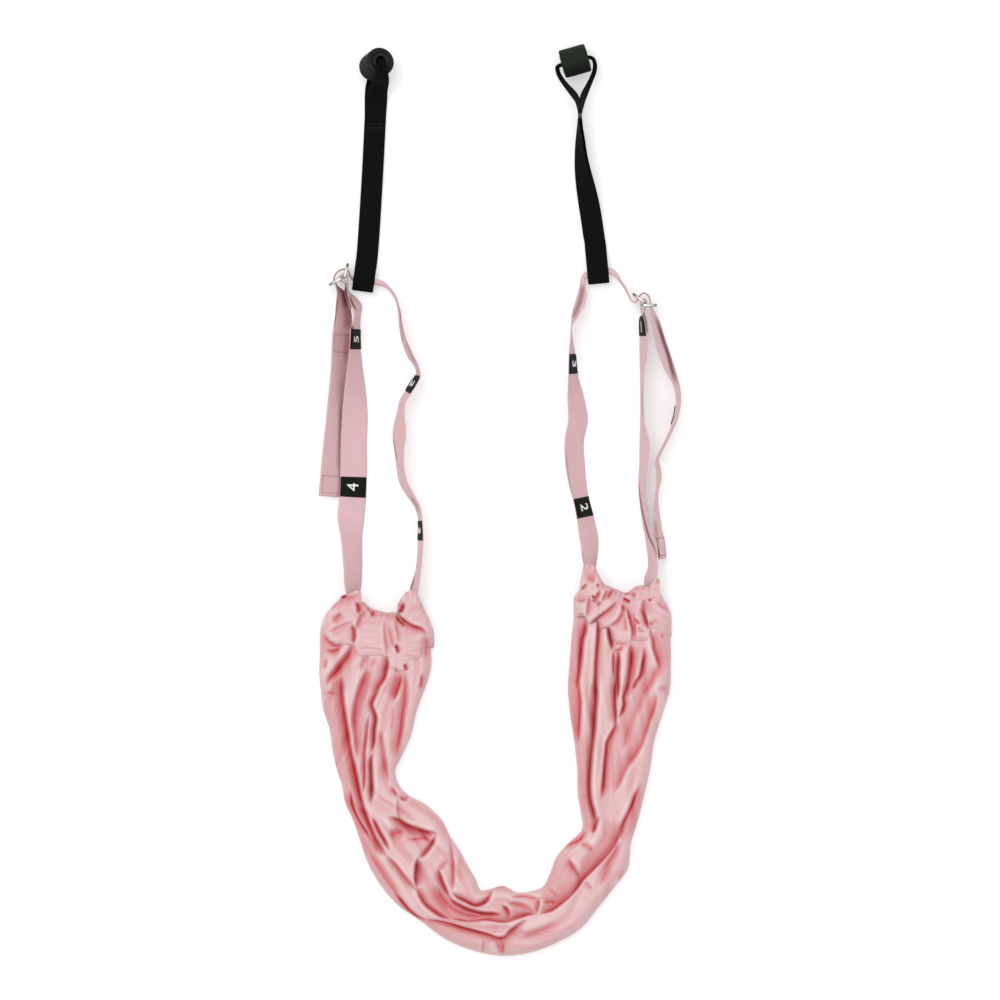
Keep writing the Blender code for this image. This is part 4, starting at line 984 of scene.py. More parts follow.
def fold_rows(side, anchor):
    """The anchor webbing's end fold, roomy round the strap's bundle, lower layer first."""
    (x, y), _ = side["bundle"]
    ux, uy = anchor["way"]
    across = (uy, -ux, 0.0)
    gap = ANCHOR_THICKNESS + ANCHOR_LAYER_GAP
    lower = ANCHOR_THICKNESS / 2
    upper = lower + gap
    top = BUNDLE_HEIGHT + ANCHOR_FOLD_RADIUS
    run, back = ANCHOR_FOLD_RUN, ANCHOR_FOLD_SETBACK
    profile = [
        (run, upper), (0.76 * run, upper + 0.12 * top), (0.5 * run, 0.66 * top),
        (0.24 * run, 0.93 * top), (0.0, top),
    ]
    for degrees in (90, 50, 10, -30, -65, -90):
        angle = math.radians(degrees)
        profile.append((
            -back - ANCHOR_FOLD_RADIUS * math.cos(angle),
            BUNDLE_HEIGHT + ANCHOR_FOLD_RADIUS * math.sin(angle),
        ))
    profile += [(-0.65 * back, lower), (0.0, lower), (run, lower)]
    return [
        row((x * MM + ux * u, y * MM + uy * u, z), across, ANCHOR_WIDTH, ANCHOR_THICKNESS)
        for u, z in profile
    ]


def pair_rows(anchor):
    """The two layers where they lie together: lower going out, upper coming back."""
    lower, upper = [], []
    half_gap = (ANCHOR_THICKNESS + ANCHOR_LAYER_GAP) / 2
    for x, y, lean in anchor["pair"]:
        angle = math.radians(lean)
        across = Vector((math.cos(angle), 0.0, math.sin(angle)))
        normal = Vector((-math.sin(angle), 0.0, math.cos(angle)))
        stack = ANCHOR_THICKNESS + ANCHOR_LAYER_GAP / 2
        height = ANCHOR_WIDTH / 2 * math.sin(angle) + stack * math.cos(angle)
        if lean:
            height += STRAP_LIFT
        place = Vector((x * MM, y * MM, height))
        lower.append(row(place - normal * half_gap, across, ANCHOR_WIDTH, ANCHOR_THICKNESS))
        upper.append(row(place + normal * half_gap, across, ANCHOR_WIDTH, ANCHOR_THICKNESS))
    return lower, upper[::-1]


def bore_rows(anchor, direction):
    """The folded webbing straight through the roll's bore."""
    centre, axis = Vector(anchor["roll"][0]) * MM, Vector(anchor["roll"][1])
    across = Vector(anchor["across"])
    reach = ROLL_LENGTH / 2 + CORE_PROUD
    rows = []
    for share in STRAIGHT_SHARES:
        place = centre + axis * (share * direction * reach)
        rows.append(row(place, across, ANCHOR_FOLDED_WIDTH, ANCHOR_FOLDED_THICKNESS))
    return rows


def anchor_rows(anchor, key):
    """Rows between the flat stretch and the bore, the webbing turning from one to the other."""
    table = anchor[key]
    near_bore, flat = Vector(anchor["across"]), Vector(anchor["across_flat"])
    rows = []
    for i, (x, y, z, width, thickness) in enumerate(table):
        steps = i if key == "lower_in" else len(table) - 1 - i
        across = flat.lerp(near_bore, steps / len(table))
        rows.append(row((x * MM, y * MM, z * MM), across, width * MM, thickness * MM))
    return rows


def add_node(tree, kind, inputs=None, **settings):
    """One node with its settings. An input is a value, an output, or a node for its first output."""
    node = tree.nodes.new(kind)
    for name, value in settings.items():
        setattr(node, name, value)
    for name, value in (inputs or {}).items():
        if isinstance(value, bpy.types.Node):
            value = value.outputs[0]
        if isinstance(value, bpy.types.NodeSocket):
            tree.links.new(value, node.inputs[name])
        else:
            node.inputs[name].default_value = value
    return node


def new_material(name):
    """A material without nodes yet, and its node tree."""
    material = bpy.data.materials.new(name)
    material.use_nodes = True
    material.node_tree.nodes.clear()
    return material, material.node_tree


def finished(material, inputs):
    """The material with its shader, which takes the inputs."""
    shader = add_node(material.node_tree, "ShaderNodeBsdfPrincipled", inputs)
    add_node(material.node_tree, "ShaderNodeOutputMaterial", {"Surface": shader})
    return material


def grained(tree, grain, contrast, least, colour):
    """A colour that is darker and lighter by the grain."""
    value = add_node(tree, "ShaderNodeMath", {0: grain, 1: contrast, 2: least}, operation="MULTIPLY_ADD")
    return add_node(tree, "ShaderNodeHueSaturation", {"Value": value, "Color": colour})


def by_facing(tree, axis, low, high, away, towards):
    """Painted light by facing: a colour that goes from away to towards as the surface turns to face along an
    axis.
    """
    normal = add_node(tree, "ShaderNodeTexCoord").outputs["Normal"]
    facing = add_node(tree, "ShaderNodeSeparateXYZ", {"Vector": normal}).outputs[axis]
    share = add_node(tree, "ShaderNodeMapRange", {"Value": facing, "From Min": low, "From Max": high})
    return add_node(tree, "ShaderNodeMix", {0: share, 6: away, 7: towards}, data_type="RGBA").outputs[2]


def woven_webbing(name, colour, rib, roughness, sheen, unevenness, gloss):
    """Polyester webbing, woven in a fine twill: ribs over its width, a soft dull sheen.

    The ribs are drawn twice as coarse as real ones, or they would be too fine to show.
    """
    material, tree = new_material(name)
    uv = add_node(tree, "ShaderNodeUVMap", uv_map="weave")
    ribs, warp = (
        add_node(tree, "ShaderNodeTexWave", {
            "Vector": uv, "Scale": 1.0 / (rib * 20 / math.pi) * fineness, "Distortion": bend, "Detail": 1.0,
        }, bands_direction=direction).outputs["Fac"]
        for direction, fineness, bend in (("X", 2.0, 0.4), ("Y", 1.6, 0.3))
    )
    weave = add_node(tree, "ShaderNodeMath", {0: ribs, 1: warp}, operation="MULTIPLY")
    handled = add_node(tree, "ShaderNodeTexNoise", {"Vector": uv, "Scale": 28.0, "Detail": 4.0})
    shade = add_node(tree, "ShaderNodeMath", {0: handled, 1: 0.55}, operation="SUBTRACT")
    amount = add_node(tree, "ShaderNodeMath", {0: shade, 1: unevenness, 2: 1.0}, operation="MULTIPLY_ADD")
    threads = add_node(tree, "ShaderNodeMath", {0: weave, 1: 0.10, 2: 0.94}, operation="MULTIPLY_ADD")
    value = add_node(tree, "ShaderNodeMath", {0: amount, 1: threads}, operation="MULTIPLY")
    # Painted shade: the webbing turns to a dark red where the shade attribute marks a fold or a ply's inner
    # face in shade
    painted_shade = add_node(tree, "ShaderNodeAttribute", attribute_name="shade").outputs["Fac"]
    cloth = add_node(tree, "ShaderNodeMix", {
        0: painted_shade, 6: colour_of(colour), 7: linear("#6E1A13"),
    }, data_type="RGBA").outputs[2]
    return finished(material, {
        "Base Color": add_node(tree, "ShaderNodeHueSaturation", {"Value": value, "Color": cloth}),
        "Normal": add_node(tree, "ShaderNodeBump", {"Height": weave, "Strength": 0.5, "Distance": 0.0003}),
        "Roughness": roughness, "Sheen Weight": sheen, "Sheen Roughness": 0.5, "Specular IOR Level": gloss,
    })


def rose_satin(name):
    """Polyester satin: long floats of thread give a soft gloss along the folds.

    Deep folds are painted redder and slits darker, a painted shade for the colour that the cloth throws back
    at itself and the light that misses them, and crests are painted nearly white, a painted highlight.
    """
    material, tree = new_material(name)
    uv = add_node(tree, "ShaderNodeUVMap", uv_map="weave")
    fold = add_node(tree, "ShaderNodeAttribute", attribute_name="fold").outputs["Fac"]
    long_way = add_node(tree, "ShaderNodeMapping", {"Vector": uv, "Scale": (14.0, 120.0, 1.0)})
    wrinkles = add_node(tree, "ShaderNodeTexNoise", {
        "Vector": long_way, "Scale": 1.0, "Detail": 4.0, "Roughness": 0.6, "Distortion": 0.4,
    })
    floats = add_node(tree, "ShaderNodeMapping", {"Vector": uv, "Scale": (260.0, 1400.0, 1.0)})
    threads = add_node(tree, "ShaderNodeTexNoise", {"Vector": floats, "Scale": 1.0, "Detail": 1.0})
    tone = add_node(tree, "ShaderNodeMath", {0: wrinkles, 1: 0.5}, operation="SUBTRACT")
    # Random tone from the wrinkles, added to the painted shade and highlight that the fold attribute carries
    tone_and_painted_shade = add_node(tree, "ShaderNodeMath", {0: tone, 1: 0.55, 2: fold}, operation="MULTIPLY_ADD")
    # Painted highlight and shade: nearly white on crests, then the satin's colour, red in folds and dark red
    # in slits
    cloth = colour_of(colours().satin_crest_highlight)
    for low, high, deeper in (
        (-0.35, 0.1, colours().satin), (0.0, 0.9, colours().satin_fold_shade), (0.85, 1.2, colours().satin_slit_shade),
    ):
        share = add_node(tree, "ShaderNodeMapRange", {"Value": tone_and_painted_shade, "From Min": low, "From Max": high})
        cloth = add_node(tree, "ShaderNodeMix", {
            0: share, 6: cloth, 7: colour_of(deeper),
        }, data_type="RGBA").outputs[2]
    soft = add_node(tree, "ShaderNodeBump", {"Height": wrinkles, "Strength": 0.6, "Distance": 0.0030})
    fine = add_node(tree, "ShaderNodeBump", {
        "Height": threads, "Strength": 0.25, "Distance": 0.0002, "Normal": soft,
    })
    return finished(material, {
        "Base Color": cloth, "Roughness": 0.42, "Normal": fine, "Sheen Weight": 0.35,
        "Sheen Roughness": 0.35, "Anisotropic": 0.4, "Specular IOR Level": 0.45,
    })


def foam_rubber(name, colour):
    """Closed-cell foam rubber: a matt skin with fine pits and slightly lighter worn spots.

    The face towards the sling is painted darker, a painted shade, as the light comes from the anchors' side.
    """
    material, tree = new_material(name)
    place = add_node(tree, "ShaderNodeTexCoord").outputs["Object"]
    cells = add_node(tree, "ShaderNodeTexVoronoi", {"Vector": place, "Scale": 900.0})
    cloud = add_node(tree, "ShaderNodeTexNoise", {"Vector": place, "Scale": 130.0, "Detail": 4.0})
    tint = grained(tree, cloud, 0.9, 0.6, colour_of(colour))
    # Painted shade: darker on the face towards the sling
    return finished(material, {
        "Base Color": by_facing(tree, "Y", 0.0, -0.8, tint, linear("#0B0E0B")),
        "Normal": add_node(tree, "ShaderNodeBump", {"Height": cells, "Strength": 0.5, "Distance": 0.0004}),
        "Roughness": 0.78, "Sheen Weight": 0.05, "Sheen Roughness": 0.4, "Specular IOR Level": 0.1,
    })


def moulded_plastic(name, colour):
    """Extruded polypropylene tube: smooth, dark and a little glossy, with fine drawn lines."""
    material, tree = new_material(name)
    place = add_node(tree, "ShaderNodeTexCoord").outputs["Object"]
    grain = add_node(tree, "ShaderNodeTexNoise", {"Vector": place, "Scale": 700.0, "Detail": 2.0})
    return finished(material, {
        "Base Color": colour,
        "Roughness": add_node(tree, "ShaderNodeMath", {0: grain, 1: 0.2, 2: 0.35}, operation="MULTIPLY_ADD"),
        "Normal": add_node(tree, "ShaderNodeBump", {"Height": grain, "Strength": 0.2, "Distance": 0.0001}),
        "Specular IOR Level": 0.25,
    })


def nickel_plate(name):
    """Nickel-plated steel wire: bright and faintly warm, with hair-fine polishing scratches.

    Its sides are painted darker than its top, a painted reflection of darker surroundings, which gives the
    bright wire an edge against a white floor.
    """
    material, tree = new_material(name)
    place = add_node(tree, "ShaderNodeTexCoord").outputs["Object"]
    drawn = add_node(tree, "ShaderNodeMapping", {"Vector": place, "Scale": (900.0, 900.0, 180.0)})
    scratches = add_node(tree, "ShaderNodeTexNoise", {"Vector": drawn, "Scale": 1.0, "Detail": 3.0})
    # Painted reflection: darker where the wire faces sideways
    return finished(material, {
        "Base Color": by_facing(tree, "Z", 0.25, 0.85, linear("#4A463C"), linear("#EDEAE0")),
        "Roughness": add_node(tree, "ShaderNodeMath", {
            0: scratches, 1: 0.16, 2: 0.10,
        }, operation="MULTIPLY_ADD"),
        "Normal": add_node(tree, "ShaderNodeBump", {
            "Height": scratches, "Strength": 0.15, "Distance": 0.0001,
        }),
        "Metallic": 1.0,
    })


def thread_material(name, colour):
    """Twisted polyester thread: matt, with fine lines where its plies turn."""
    material, tree = new_material(name)
    place = add_node(tree, "ShaderNodeTexCoord").outputs["Object"]
    plies = add_node(tree, "ShaderNodeTexNoise", {"Vector": place, "Scale": 1600.0, "Detail": 2.0})
    return finished(material, {
        "Base Color": grained(tree, plies, 0.35, 0.82, colour),
        "Normal": add_node(tree, "ShaderNodeBump", {"Height": plies, "Strength": 0.4, "Distance": 0.0002}),
        "Roughness": 0.6, "Sheen Weight": 0.05, "Specular IOR Level": 0.2,
    })


def link(thing):
    bpy.context.scene.collection.objects.link(thing)
    return thing


def woven_section(found, base):
    """Points round the webbing, flat where it lies and pleated where it is gathered."""
    place, across, normal, width, thickness = found
    depth = max((thickness - base) / 2, 0.0)
    wall = min(base, PLEAT_CROWDING * width / (2 * PLEATS))
    half = width / 2 - wall / 2
    front, back, ends = [], [], []
    for i in range(FACE_POINTS):
        s = -1 + 2 * i / (FACE_POINTS - 1)
        turn = math.pi * PLEATS * s
        rise = depth * math.pi * PLEATS * math.cos(turn)
        centre = place + across * (half * s) + normal * (depth * math.sin(turn))
        out = (normal * half - across * rise).normalized()
        offset = out * (wall / 2 * (1 - SELVEDGE_SOFTNESS * s ** SELVEDGE_POWER))
        front.append(centre + offset)
        back.append(centre - offset)
        if i in (0, FACE_POINTS - 1):
            edge = (across * half + normal * rise).normalized() * math.copysign(wall / 2, s)
            ends.append(centre + edge)
    return front + [ends[1]] + back[::-1] + [ends[0]]


def distances(found, closed=False):
    places = [f[0] for f in found]
    if closed:
        places.append(places[0])
    along = [0.0]
    for before, after in zip(places, places[1:]):
        along.append(along[-1] + (after - before).length)
    return along


def face_outwards(data):
    mesh = bmesh.new()
    mesh.from_mesh(data)
    bmesh.ops.recalc_face_normals(mesh, faces=mesh.faces[:])
    mesh.to_mesh(data)
    mesh.free()


def shade_smooth(data, smooth_faces=True):
    data.polygons.foreach_set("use_smooth", [smooth_faces] * len(data.polygons))


def mesh_of(name, vertices, faces, uvs, material):
    """A smooth-shaded object from points and faces, with its weave laid out in metres."""
    data = bpy.data.meshes.new(name)
    data.from_pydata([tuple(v) for v in vertices], [], faces)
    data.uv_layers.new(name="weave").data.foreach_set("uv", np.array(uvs, float).ravel())
    face_outwards(data)
    shade_smooth(data)
    data.materials.append(material)
    return link(bpy.data.objects.new(name, data))


def tube_faces(rings, count, closed, along, over):
    """Faces between rings of points, and their places in the weave."""
    faces, uvs = [], []
    for i in range(rings if closed else rings - 1):
        j = (i + 1) % rings
        for k in range(count):
            m = (k + 1) % count
            faces.append((i * count + k, j * count + k, j * count + m, i * count + m))
            uvs += [(along[a], over[b]) for a, b in ((i, k), (i + 1, k), (i + 1, k + 1), (i, k + 1))]
    return faces, uvs


def woven_band(name, found, base, real_width, closed, material):
    """A length of webbing through frames, with flat faces and soft selvedges."""
    sections = [woven_section(f, base) for f in found]
    along = distances(found, closed)
    shares = [-1 + 2 * i / (FACE_POINTS - 1) for i in range(FACE_POINTS)]
    over = [s * real_width / 2 for s in shares + [1.0] + shares[::-1] + [-1.0]]
    count = len(over)
    faces, uvs = tube_faces(len(sections), count, closed, along, over + over[:1])
    ends = [(k, k + 1, count - 3 - k, count - 2 - k) for k in range(FACE_POINTS - 1)]
    ends += [(FACE_POINTS - 1, FACE_POINTS, FACE_POINTS + 1), (count - 1, 0, count - 2)]
    for start in () if closed else (0, (len(sections) - 1) * count):
        for corners in ends:
            faces.append(tuple(start + c for c in corners))
            uvs += [(along[0], over[c]) for c in corners]
    return mesh_of(name, [point for points in sections for point in points], faces, uvs, material)


def paint_shade_on_webbing(band, table):
    """Paints shade on the webbing where a fold or a ply's inner face lies in shade, only on faces that look
    up.
    """
    places = np.array([vertex.co[:2] for vertex in band.data.vertices])
    shade = np.zeros(len(places))
    for width, strength, line in table:
        line = np.array(line, float) * MM
        runs = np.linalg.norm(np.diff(line, axis=0), axis=1)
        faded = SHADE_FADE * runs.sum()
        start = 0.0
        for a, b, run in zip(line, line[1:], runs):
            share = np.clip(((places - a) @ (b - a)) / run ** 2, 0, 1)
            distance = np.linalg.norm(places - a - share[:, None] * (b - a), axis=1)
            along = start + share * run
            fade = np.clip(np.minimum(along, runs.sum() - along) / faded, 0, 1) ** SHADE_FADE_POWER
            shade = np.maximum(shade, strength * fade * np.exp(-(distance / (width * MM)) ** 3))
            start += run
    up = [SHADE_UP_GAIN * (vertex.normal.z - SHADE_LEAST_UP) for vertex in band.data.vertices]
    shade = (shade * np.clip(up, 0, 1)).astype(np.float32)
    band.data.attributes.new("shade", "FLOAT", "POINT").data.foreach_set("value", shade)


def frame_at(found, along, distance):
    """The webbing's place, across and normal at a distance along it."""
    i = int(min(max(np.searchsorted(along, distance) - 1, 0), len(found) - 2))
    share = (distance - along[i]) / max(along[i + 1] - along[i], 1e-9)
    place, across, normal = (a.lerp(b, share) for a, b in zip(found[i][:3], found[i + 1][:3]))
    return place, across.normalized(), normal.normalized()


def on_band(found, along, distance, over, lift):
    """A point on the webbing's face, at a distance along and over it."""
    place, across, normal = frame_at(found, along, distance)
    return place + across * over + normal * lift


def nearest_distance(found, along, first, last, place):
    target = Vector(place) * MM
    nearest = min(range(first, min(last, len(found))), key=lambda i: (found[i][0].xy - target).length)
    return along[nearest]


def stitch_tree():
    """Geometry Nodes that lay thread stitches along the edges of a mesh."""
    tree = bpy.data.node_groups.new("thread_stitches", "GeometryNodeTree")
    for label, way, kind in (
        ("Paths", "INPUT", "Geometry"), ("Spacing", "INPUT", "Float"), ("Stitch length", "INPUT", "Float"),
        ("Thread radius", "INPUT", "Float"), ("Thread", "INPUT", "Material"),
        ("Stitches", "OUTPUT", "Geometry"),
    ):
        tree.interface.new_socket(label, in_out=way, socket_type="NodeSocket" + kind)
    given = add_node(tree, "NodeGroupInput").outputs
    paths = add_node(tree, "GeometryNodeMeshToCurve", {"Mesh": given["Paths"]})
    points = add_node(tree, "GeometryNodeCurveToPoints", {
        "Curve": paths, "Length": given["Spacing"],
    }, mode="LENGTH")
    half = add_node(tree, "ShaderNodeMath", {0: given["Stitch length"], 1: 0.5}, operation="MULTIPLY")
    shape = add_node(tree, "ShaderNodeCombineXYZ", {
        "X": given["Thread radius"], "Y": given["Thread radius"], "Z": half,
    })
    bead = add_node(tree, "GeometryNodeMeshUVSphere", {"Segments": 6, "Rings": 4, "Radius": 1.0})
    placed = add_node(tree, "GeometryNodeInstanceOnPoints", {
        "Points": points, "Rotation": points.outputs["Rotation"],
        "Instance": add_node(tree, "GeometryNodeTransform", {"Geometry": bead, "Scale": shape}),
    })
    real = add_node(tree, "GeometryNodeRealizeInstances", {"Geometry": placed})
    coloured = add_node(tree, "GeometryNodeSetMaterial", {"Geometry": real, "Material": given["Thread"]})
    add_node(tree, "NodeGroupOutput", {"Stitches": coloured})
    return tree


def baked(thing, material=None):
    """The evaluated object as a plain mesh object of the same name, in the material if one is given."""
    name = thing.name
    graph = bpy.context.evaluated_depsgraph_get()
    data = bpy.data.meshes.new_from_object(thing.evaluated_get(graph), depsgraph=graph)
    bpy.data.objects.remove(thing, do_unlink=True)
    data.name = name
    shade_smooth(data)
    if material:
        data.materials.clear()
        data.materials.append(material)
    return link(bpy.data.objects.new(name, data))


def sew(name, paths, material):
    """Stitches along each path of points."""
    vertices, edges = [], []
    for path in paths:
        start = len(vertices)
        vertices += [tuple(p) for p in path]
        edges += [(start + i, start + i + 1) for i in range(len(path) - 1)]
    data = bpy.data.meshes.new(name)
    data.from_pydata(vertices, edges, [])
    thing = link(bpy.data.objects.new(name, data))
    tree = bpy.data.node_groups.get("thread_stitches") or stitch_tree()
    modifier = thing.modifiers.new("stitches", "NODES")
    modifier.node_group = tree
    values = {
        "Spacing": sizes().stitch_spacing, "Stitch length": sizes().stitch_length,
        "Thread radius": sizes().thread_radius, "Thread": material,
    }
    for item in tree.interface.items_tree:
        if item.in_out == "INPUT" and item.name in values:
            modifier[item.identifier] = values[item.name]
    return baked(thing)


def strap_frames(side, direction):
    """The strap's frames at the render's detail, and where each leg starts among them."""
    rows, starts = strap_parts(side, direction)
    found = frames(smooth(rows, STRAP_VISUAL_STEPS, False), False)
    legs = {leg: (a * STRAP_VISUAL_STEPS, b * STRAP_VISUAL_STEPS) for leg, (a, b) in starts.items()}
    return found, distances(found), legs


def box_path(found, along, distance, lift):
    """A sewn box, centred at a distance along the webbing."""
    corners = [(-1, -1), (1, -1), (1, 1), (-1, 1), (-1, -1)]
    path = []
    for (a0, o0), (a1, o1) in zip(corners, corners[1:]):
        for step in range(BOX_STEPS + 1):
            a, o = a0 + (a1 - a0) * step / BOX_STEPS, o0 + (o1 - o0) * step / BOX_STEPS
            path.append(on_band(found, along, distance + a * BOX_LENGTH / 2, o * BOX_WIDTH / 2, lift))
    return path


def tack_path(found, along, distance, lift):
    """A bar tack over the webbing: one thick zigzag row."""
    return [
        on_band(
            found, along, distance + (TACK_REACH if step % 2 else -TACK_REACH),
            (step / TACK_STEPS - 0.5) * TACK_WIDTH, lift,
        )
        for step in range(TACK_STEPS + 1)
    ]


def colours():
    return bpy.context.scene.sling_colours


def sizes():
    return bpy.context.scene.sling_sizes


SIDES = (("left", LEFT, -1, LEFT_ANCHOR, 1), ("right", RIGHT, 1, RIGHT_ANCHOR, -1))


class SLING_OT_straps(bpy.types.Operator):
    """Adds both adjustable straps with their sewn boxes"""

    bl_idname = "sling.straps"
    bl_label = "Adjustable straps"

    def execute(self, context):
        webbing = woven_webbing(
            "rose polyester webbing", colours().webbing, rib=0.0011, roughness=0.55, sheen=0.12,
            unevenness=0.16, gloss=0.15,
        )
        thread = thread_material("rose thread", colour_of(colours().thread))
        for prefix, side, direction, _, _ in SIDES:
            found, along, legs = strap_frames(side, direction)
            strap = woven_band(
                prefix + "_strap_webbing", found, WEBBING_THICKNESS, WEBBING_WIDTH, False, webbing,
            )
            # Painted shade on the strap's folds and on the inner faces of its plies
            paint_shade_on_webbing(strap, STRAP_SHADES[prefix])
            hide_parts(prefix + "_adjustable_strap")
            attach(strap, prefix + "_strap")
            boxes = [
                along[legs["flap"][0]] + FLAP_BOX_INSET + BOX_LENGTH / 2,
                along[-1] - TAIL_BOX_INSET - BOX_LENGTH / 2,
            ]
            if prefix in SPLICE_PLACES:
                boxes.append(nearest_distance(found, along, 0, len(found), SPLICE_PLACES[prefix]))
            lift = WEBBING_THICKNESS / 2 + STITCH_LIFT
            paths = [box_path(found, along, box, face * lift) for face in (1, -1) for box in boxes]
            stitches = sew(prefix + "_strap_stitches", paths, thread)
            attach(stitches, prefix + "_strap")
        return {"FINISHED"}


def grid_faces(rows, columns, flip=False):
    faces = []
    for i in range(rows - 1):
        for k in range(columns - 1):
            quad = (i * columns + k, (i + 1) * columns + k, (i + 1) * columns + k + 1, i * columns + k + 1)
            faces.append(quad[::-1] if flip else quad)
    return faces


def tag_slab(name, found, along, middle, material):
    """The tag over one face of the webbing, with soft edges."""
    vertices, flat = [], []
    for i in range(TAG_ROWS):
        share = i / (TAG_ROWS - 1)
        distance = middle + (share - 0.5) * LABEL_LENGTH
        end = min(share, 1 - share) * LABEL_LENGTH
        for k in range(TAG_COLUMNS):
            s = -1 + 2 * k / (TAG_COLUMNS - 1)
            edge = min(end, (1 - abs(s)) * TAG_HALF_WIDTH)
            height = TAG_BOTTOM + (TAG_TOP - TAG_BOTTOM) * min(edge / TAG_EDGE, 1.0) ** 0.5
            vertices.append(on_band(found, along, distance, s * TAG_HALF_WIDTH, height))
            flat.append((share * LABEL_LENGTH, k / (TAG_COLUMNS - 1) * 2 * TAG_HALF_WIDTH))
    faces = grid_faces(TAG_ROWS, TAG_COLUMNS)
    return mesh_of(name, vertices, faces, [flat[c] for face in faces for c in face], material)


def numeral(name, text, found, along, middle, upright, material):
    """An embroidered number on the tag, read along the webbing from its far end."""
    curve = bpy.data.curves.new(name, "FONT")
    curve.body = text
    curve.size = NUMBER_HEIGHT * TYPE_OVER_HEIGHT
    curve.align_x = "CENTER"
    curve.align_y = "CENTER"
    curve.extrude = NUMBER_RISE
    curve.bevel_depth = NUMBER_BEVEL
    curve.offset = NUMBER_BOLDNESS
    thing = baked(link(bpy.data.objects.new(name, curve)), material)
    for vertex in thing.data.vertices:
        x, y, z = vertex.co
        distance, over = (y, -x) if upright else (-x, -y)
        vertex.co = on_band(found, along, middle + distance, over, TAG_TOP + NUMBER_RISE + z)
    shade_smooth(thing.data, False)
    face_outwards(thing.data)
    return thing


class SLING_OT_tags(bpy.types.Operator):
    """Adds the woven length tags with their numbers and edge stitches"""

    bl_idname = "sling.tags"
    bl_label = "Length tags"

    def execute(self, context):
        cloth = woven_webbing(
            "black woven tag", colours().tag, rib=0.0008, roughness=0.7, sheen=0.02,
            unevenness=0.2, gloss=0.06,
        )
        white = thread_material("white embroidery thread", linear("#EDEDE8"))
        black = thread_material("black thread", linear("#2A2E29"))
        reach = LABEL_LENGTH / 2 - TAG_STITCH_INSET
        half = TAG_HALF_WIDTH - TAG_STITCH_INSET
        middle_point = (TAG_STITCH_POINTS - 1) / 2
        for prefix, side, direction, _, _ in SIDES:
            found, along, legs = strap_frames(side, direction)
            for number, (leg, place) in enumerate(side["labels"], 1):
                middle = nearest_distance(found, along, *legs[leg], place)
                tag = tag_slab(f"{prefix}_tag_{number}", found, along, middle, cloth)
                solid = tag.modifiers.new("tape", "SOLIDIFY")
                solid.thickness = TAG_TAPE
                solid.offset = -1
                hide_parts(f"{prefix}_length_tag_{number}")
                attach(tag, prefix + "_strap")
                mark = numeral(
                    f"{prefix}_tag_{number}_number", TAG_NUMBERS[prefix][number - 1], found, along, middle,
                    (prefix, number) == UPRIGHT_NUMBER, white,
                )
                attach(mark, prefix + "_strap")
                paths = [
                    [
                        on_band(
                            found, along, middle + end * reach, half * (-1 + k / middle_point),
                            TAG_TOP + STITCH_LIFT / 2,
                        )
                        for k in range(TAG_STITCH_POINTS)
                    ]
                    for end in (-1, 1)
                ]
                stitches = sew(f"{prefix}_tag_{number}_stitches", paths, black)
                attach(stitches, prefix + "_strap")
        return {"FINISHED"}


def d_outline():
    """The D-ring's centre line, a bar and a bow, by shares of its depth and half its height."""
    bow = [(0.05, 0.97), (0.16, 1.0), (0.42, 0.985), (0.68, 0.86), (0.88, 0.6), (0.98, 0.27)]
    outline = [(0.0, -0.86), (0.0, -0.4), (0.0, 0.4), (0.0, 0.86), *bow, (1.0, 0.0)]
    outline += [(out, -up) for out, up in reversed(bow)]
    rows = [(out * RING_DEPTH, 0.0, up * RING_HEIGHT / 2) for out, up in outline]
    return smooth(rows, 6, True)


class SLING_OT_rings(bpy.types.Operator):
    """Adds the four nickel D-rings"""

    bl_idname = "sling.rings"
    bl_label = "D-rings"

    def execute(self, context):
        nickel = nickel_plate("nickel-plated steel")
        line = d_outline()
        for prefix, side, _, _, _ in SIDES:
            for which, (x, y) in side["bars"].items():
                name = f"{prefix}_{which}_wire_ring"
                curve = bpy.data.curves.new(name, "CURVE")
                curve.dimensions = "3D"
                curve.bevel_depth = RING_WIRE / 2
                curve.bevel_resolution = 6
                spline = curve.splines.new("POLY")
                spline.points.add(len(line) - 1)
                spline.use_cyclic_u = True
                for point, place in zip(spline.points, line):
                    point.co = (*place, 1.0)
                way = side["ring_ways"][which]
                place = Matrix.Translation((x * MM, y * MM, RING_CENTRE))
                turn = Matrix.Rotation(math.atan2(way[1], way[0]), 4, "Z")
                ring = baked(link(bpy.data.objects.new(name, curve)), nickel)
                ring.data.transform(place @ turn)
                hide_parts(f"{prefix}_{which}_d_ring")
                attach(ring, f"{prefix}_{which}_ring")
        return {"FINISHED"}


def anchor_frames(side, anchor, direction):
    """The anchor webbing's frames at the render's detail, and how far along each is."""
    lower, upper = pair_rows(anchor)
    rows = fold_rows(side, anchor) + lower + anchor_rows(anchor, "lower_in")
    rows += bore_rows(anchor, direction) + anchor_rows(anchor, "upper_out") + upper
    found = frames(smooth(rows, ANCHOR_VISUAL_STEPS, True), True)
    return found, distances(found, True)


def leaned(found, middle, low, high, lean):
    """Anchor frames with the legs' upper edges leaning towards the middle between them."""
    turned = []
    for place, across, normal, width, thickness in found:
        share = (place.y - low) / (high - low)
        if 0 < share < 1:
            upward = across if across.z > 0 else -across
            angle = lean * math.sin(math.pi * share) ** 1.5
            spin = Matrix.Rotation(angle, 3, across.cross(normal))
            inward = ((spin @ upward).x - upward.x) * (middle - place.x) > 0
            spin = spin if inward else spin.inverted()
            across, normal = spin @ across, spin @ normal
        turned.append((place, across, normal, width, thickness))
    return turned


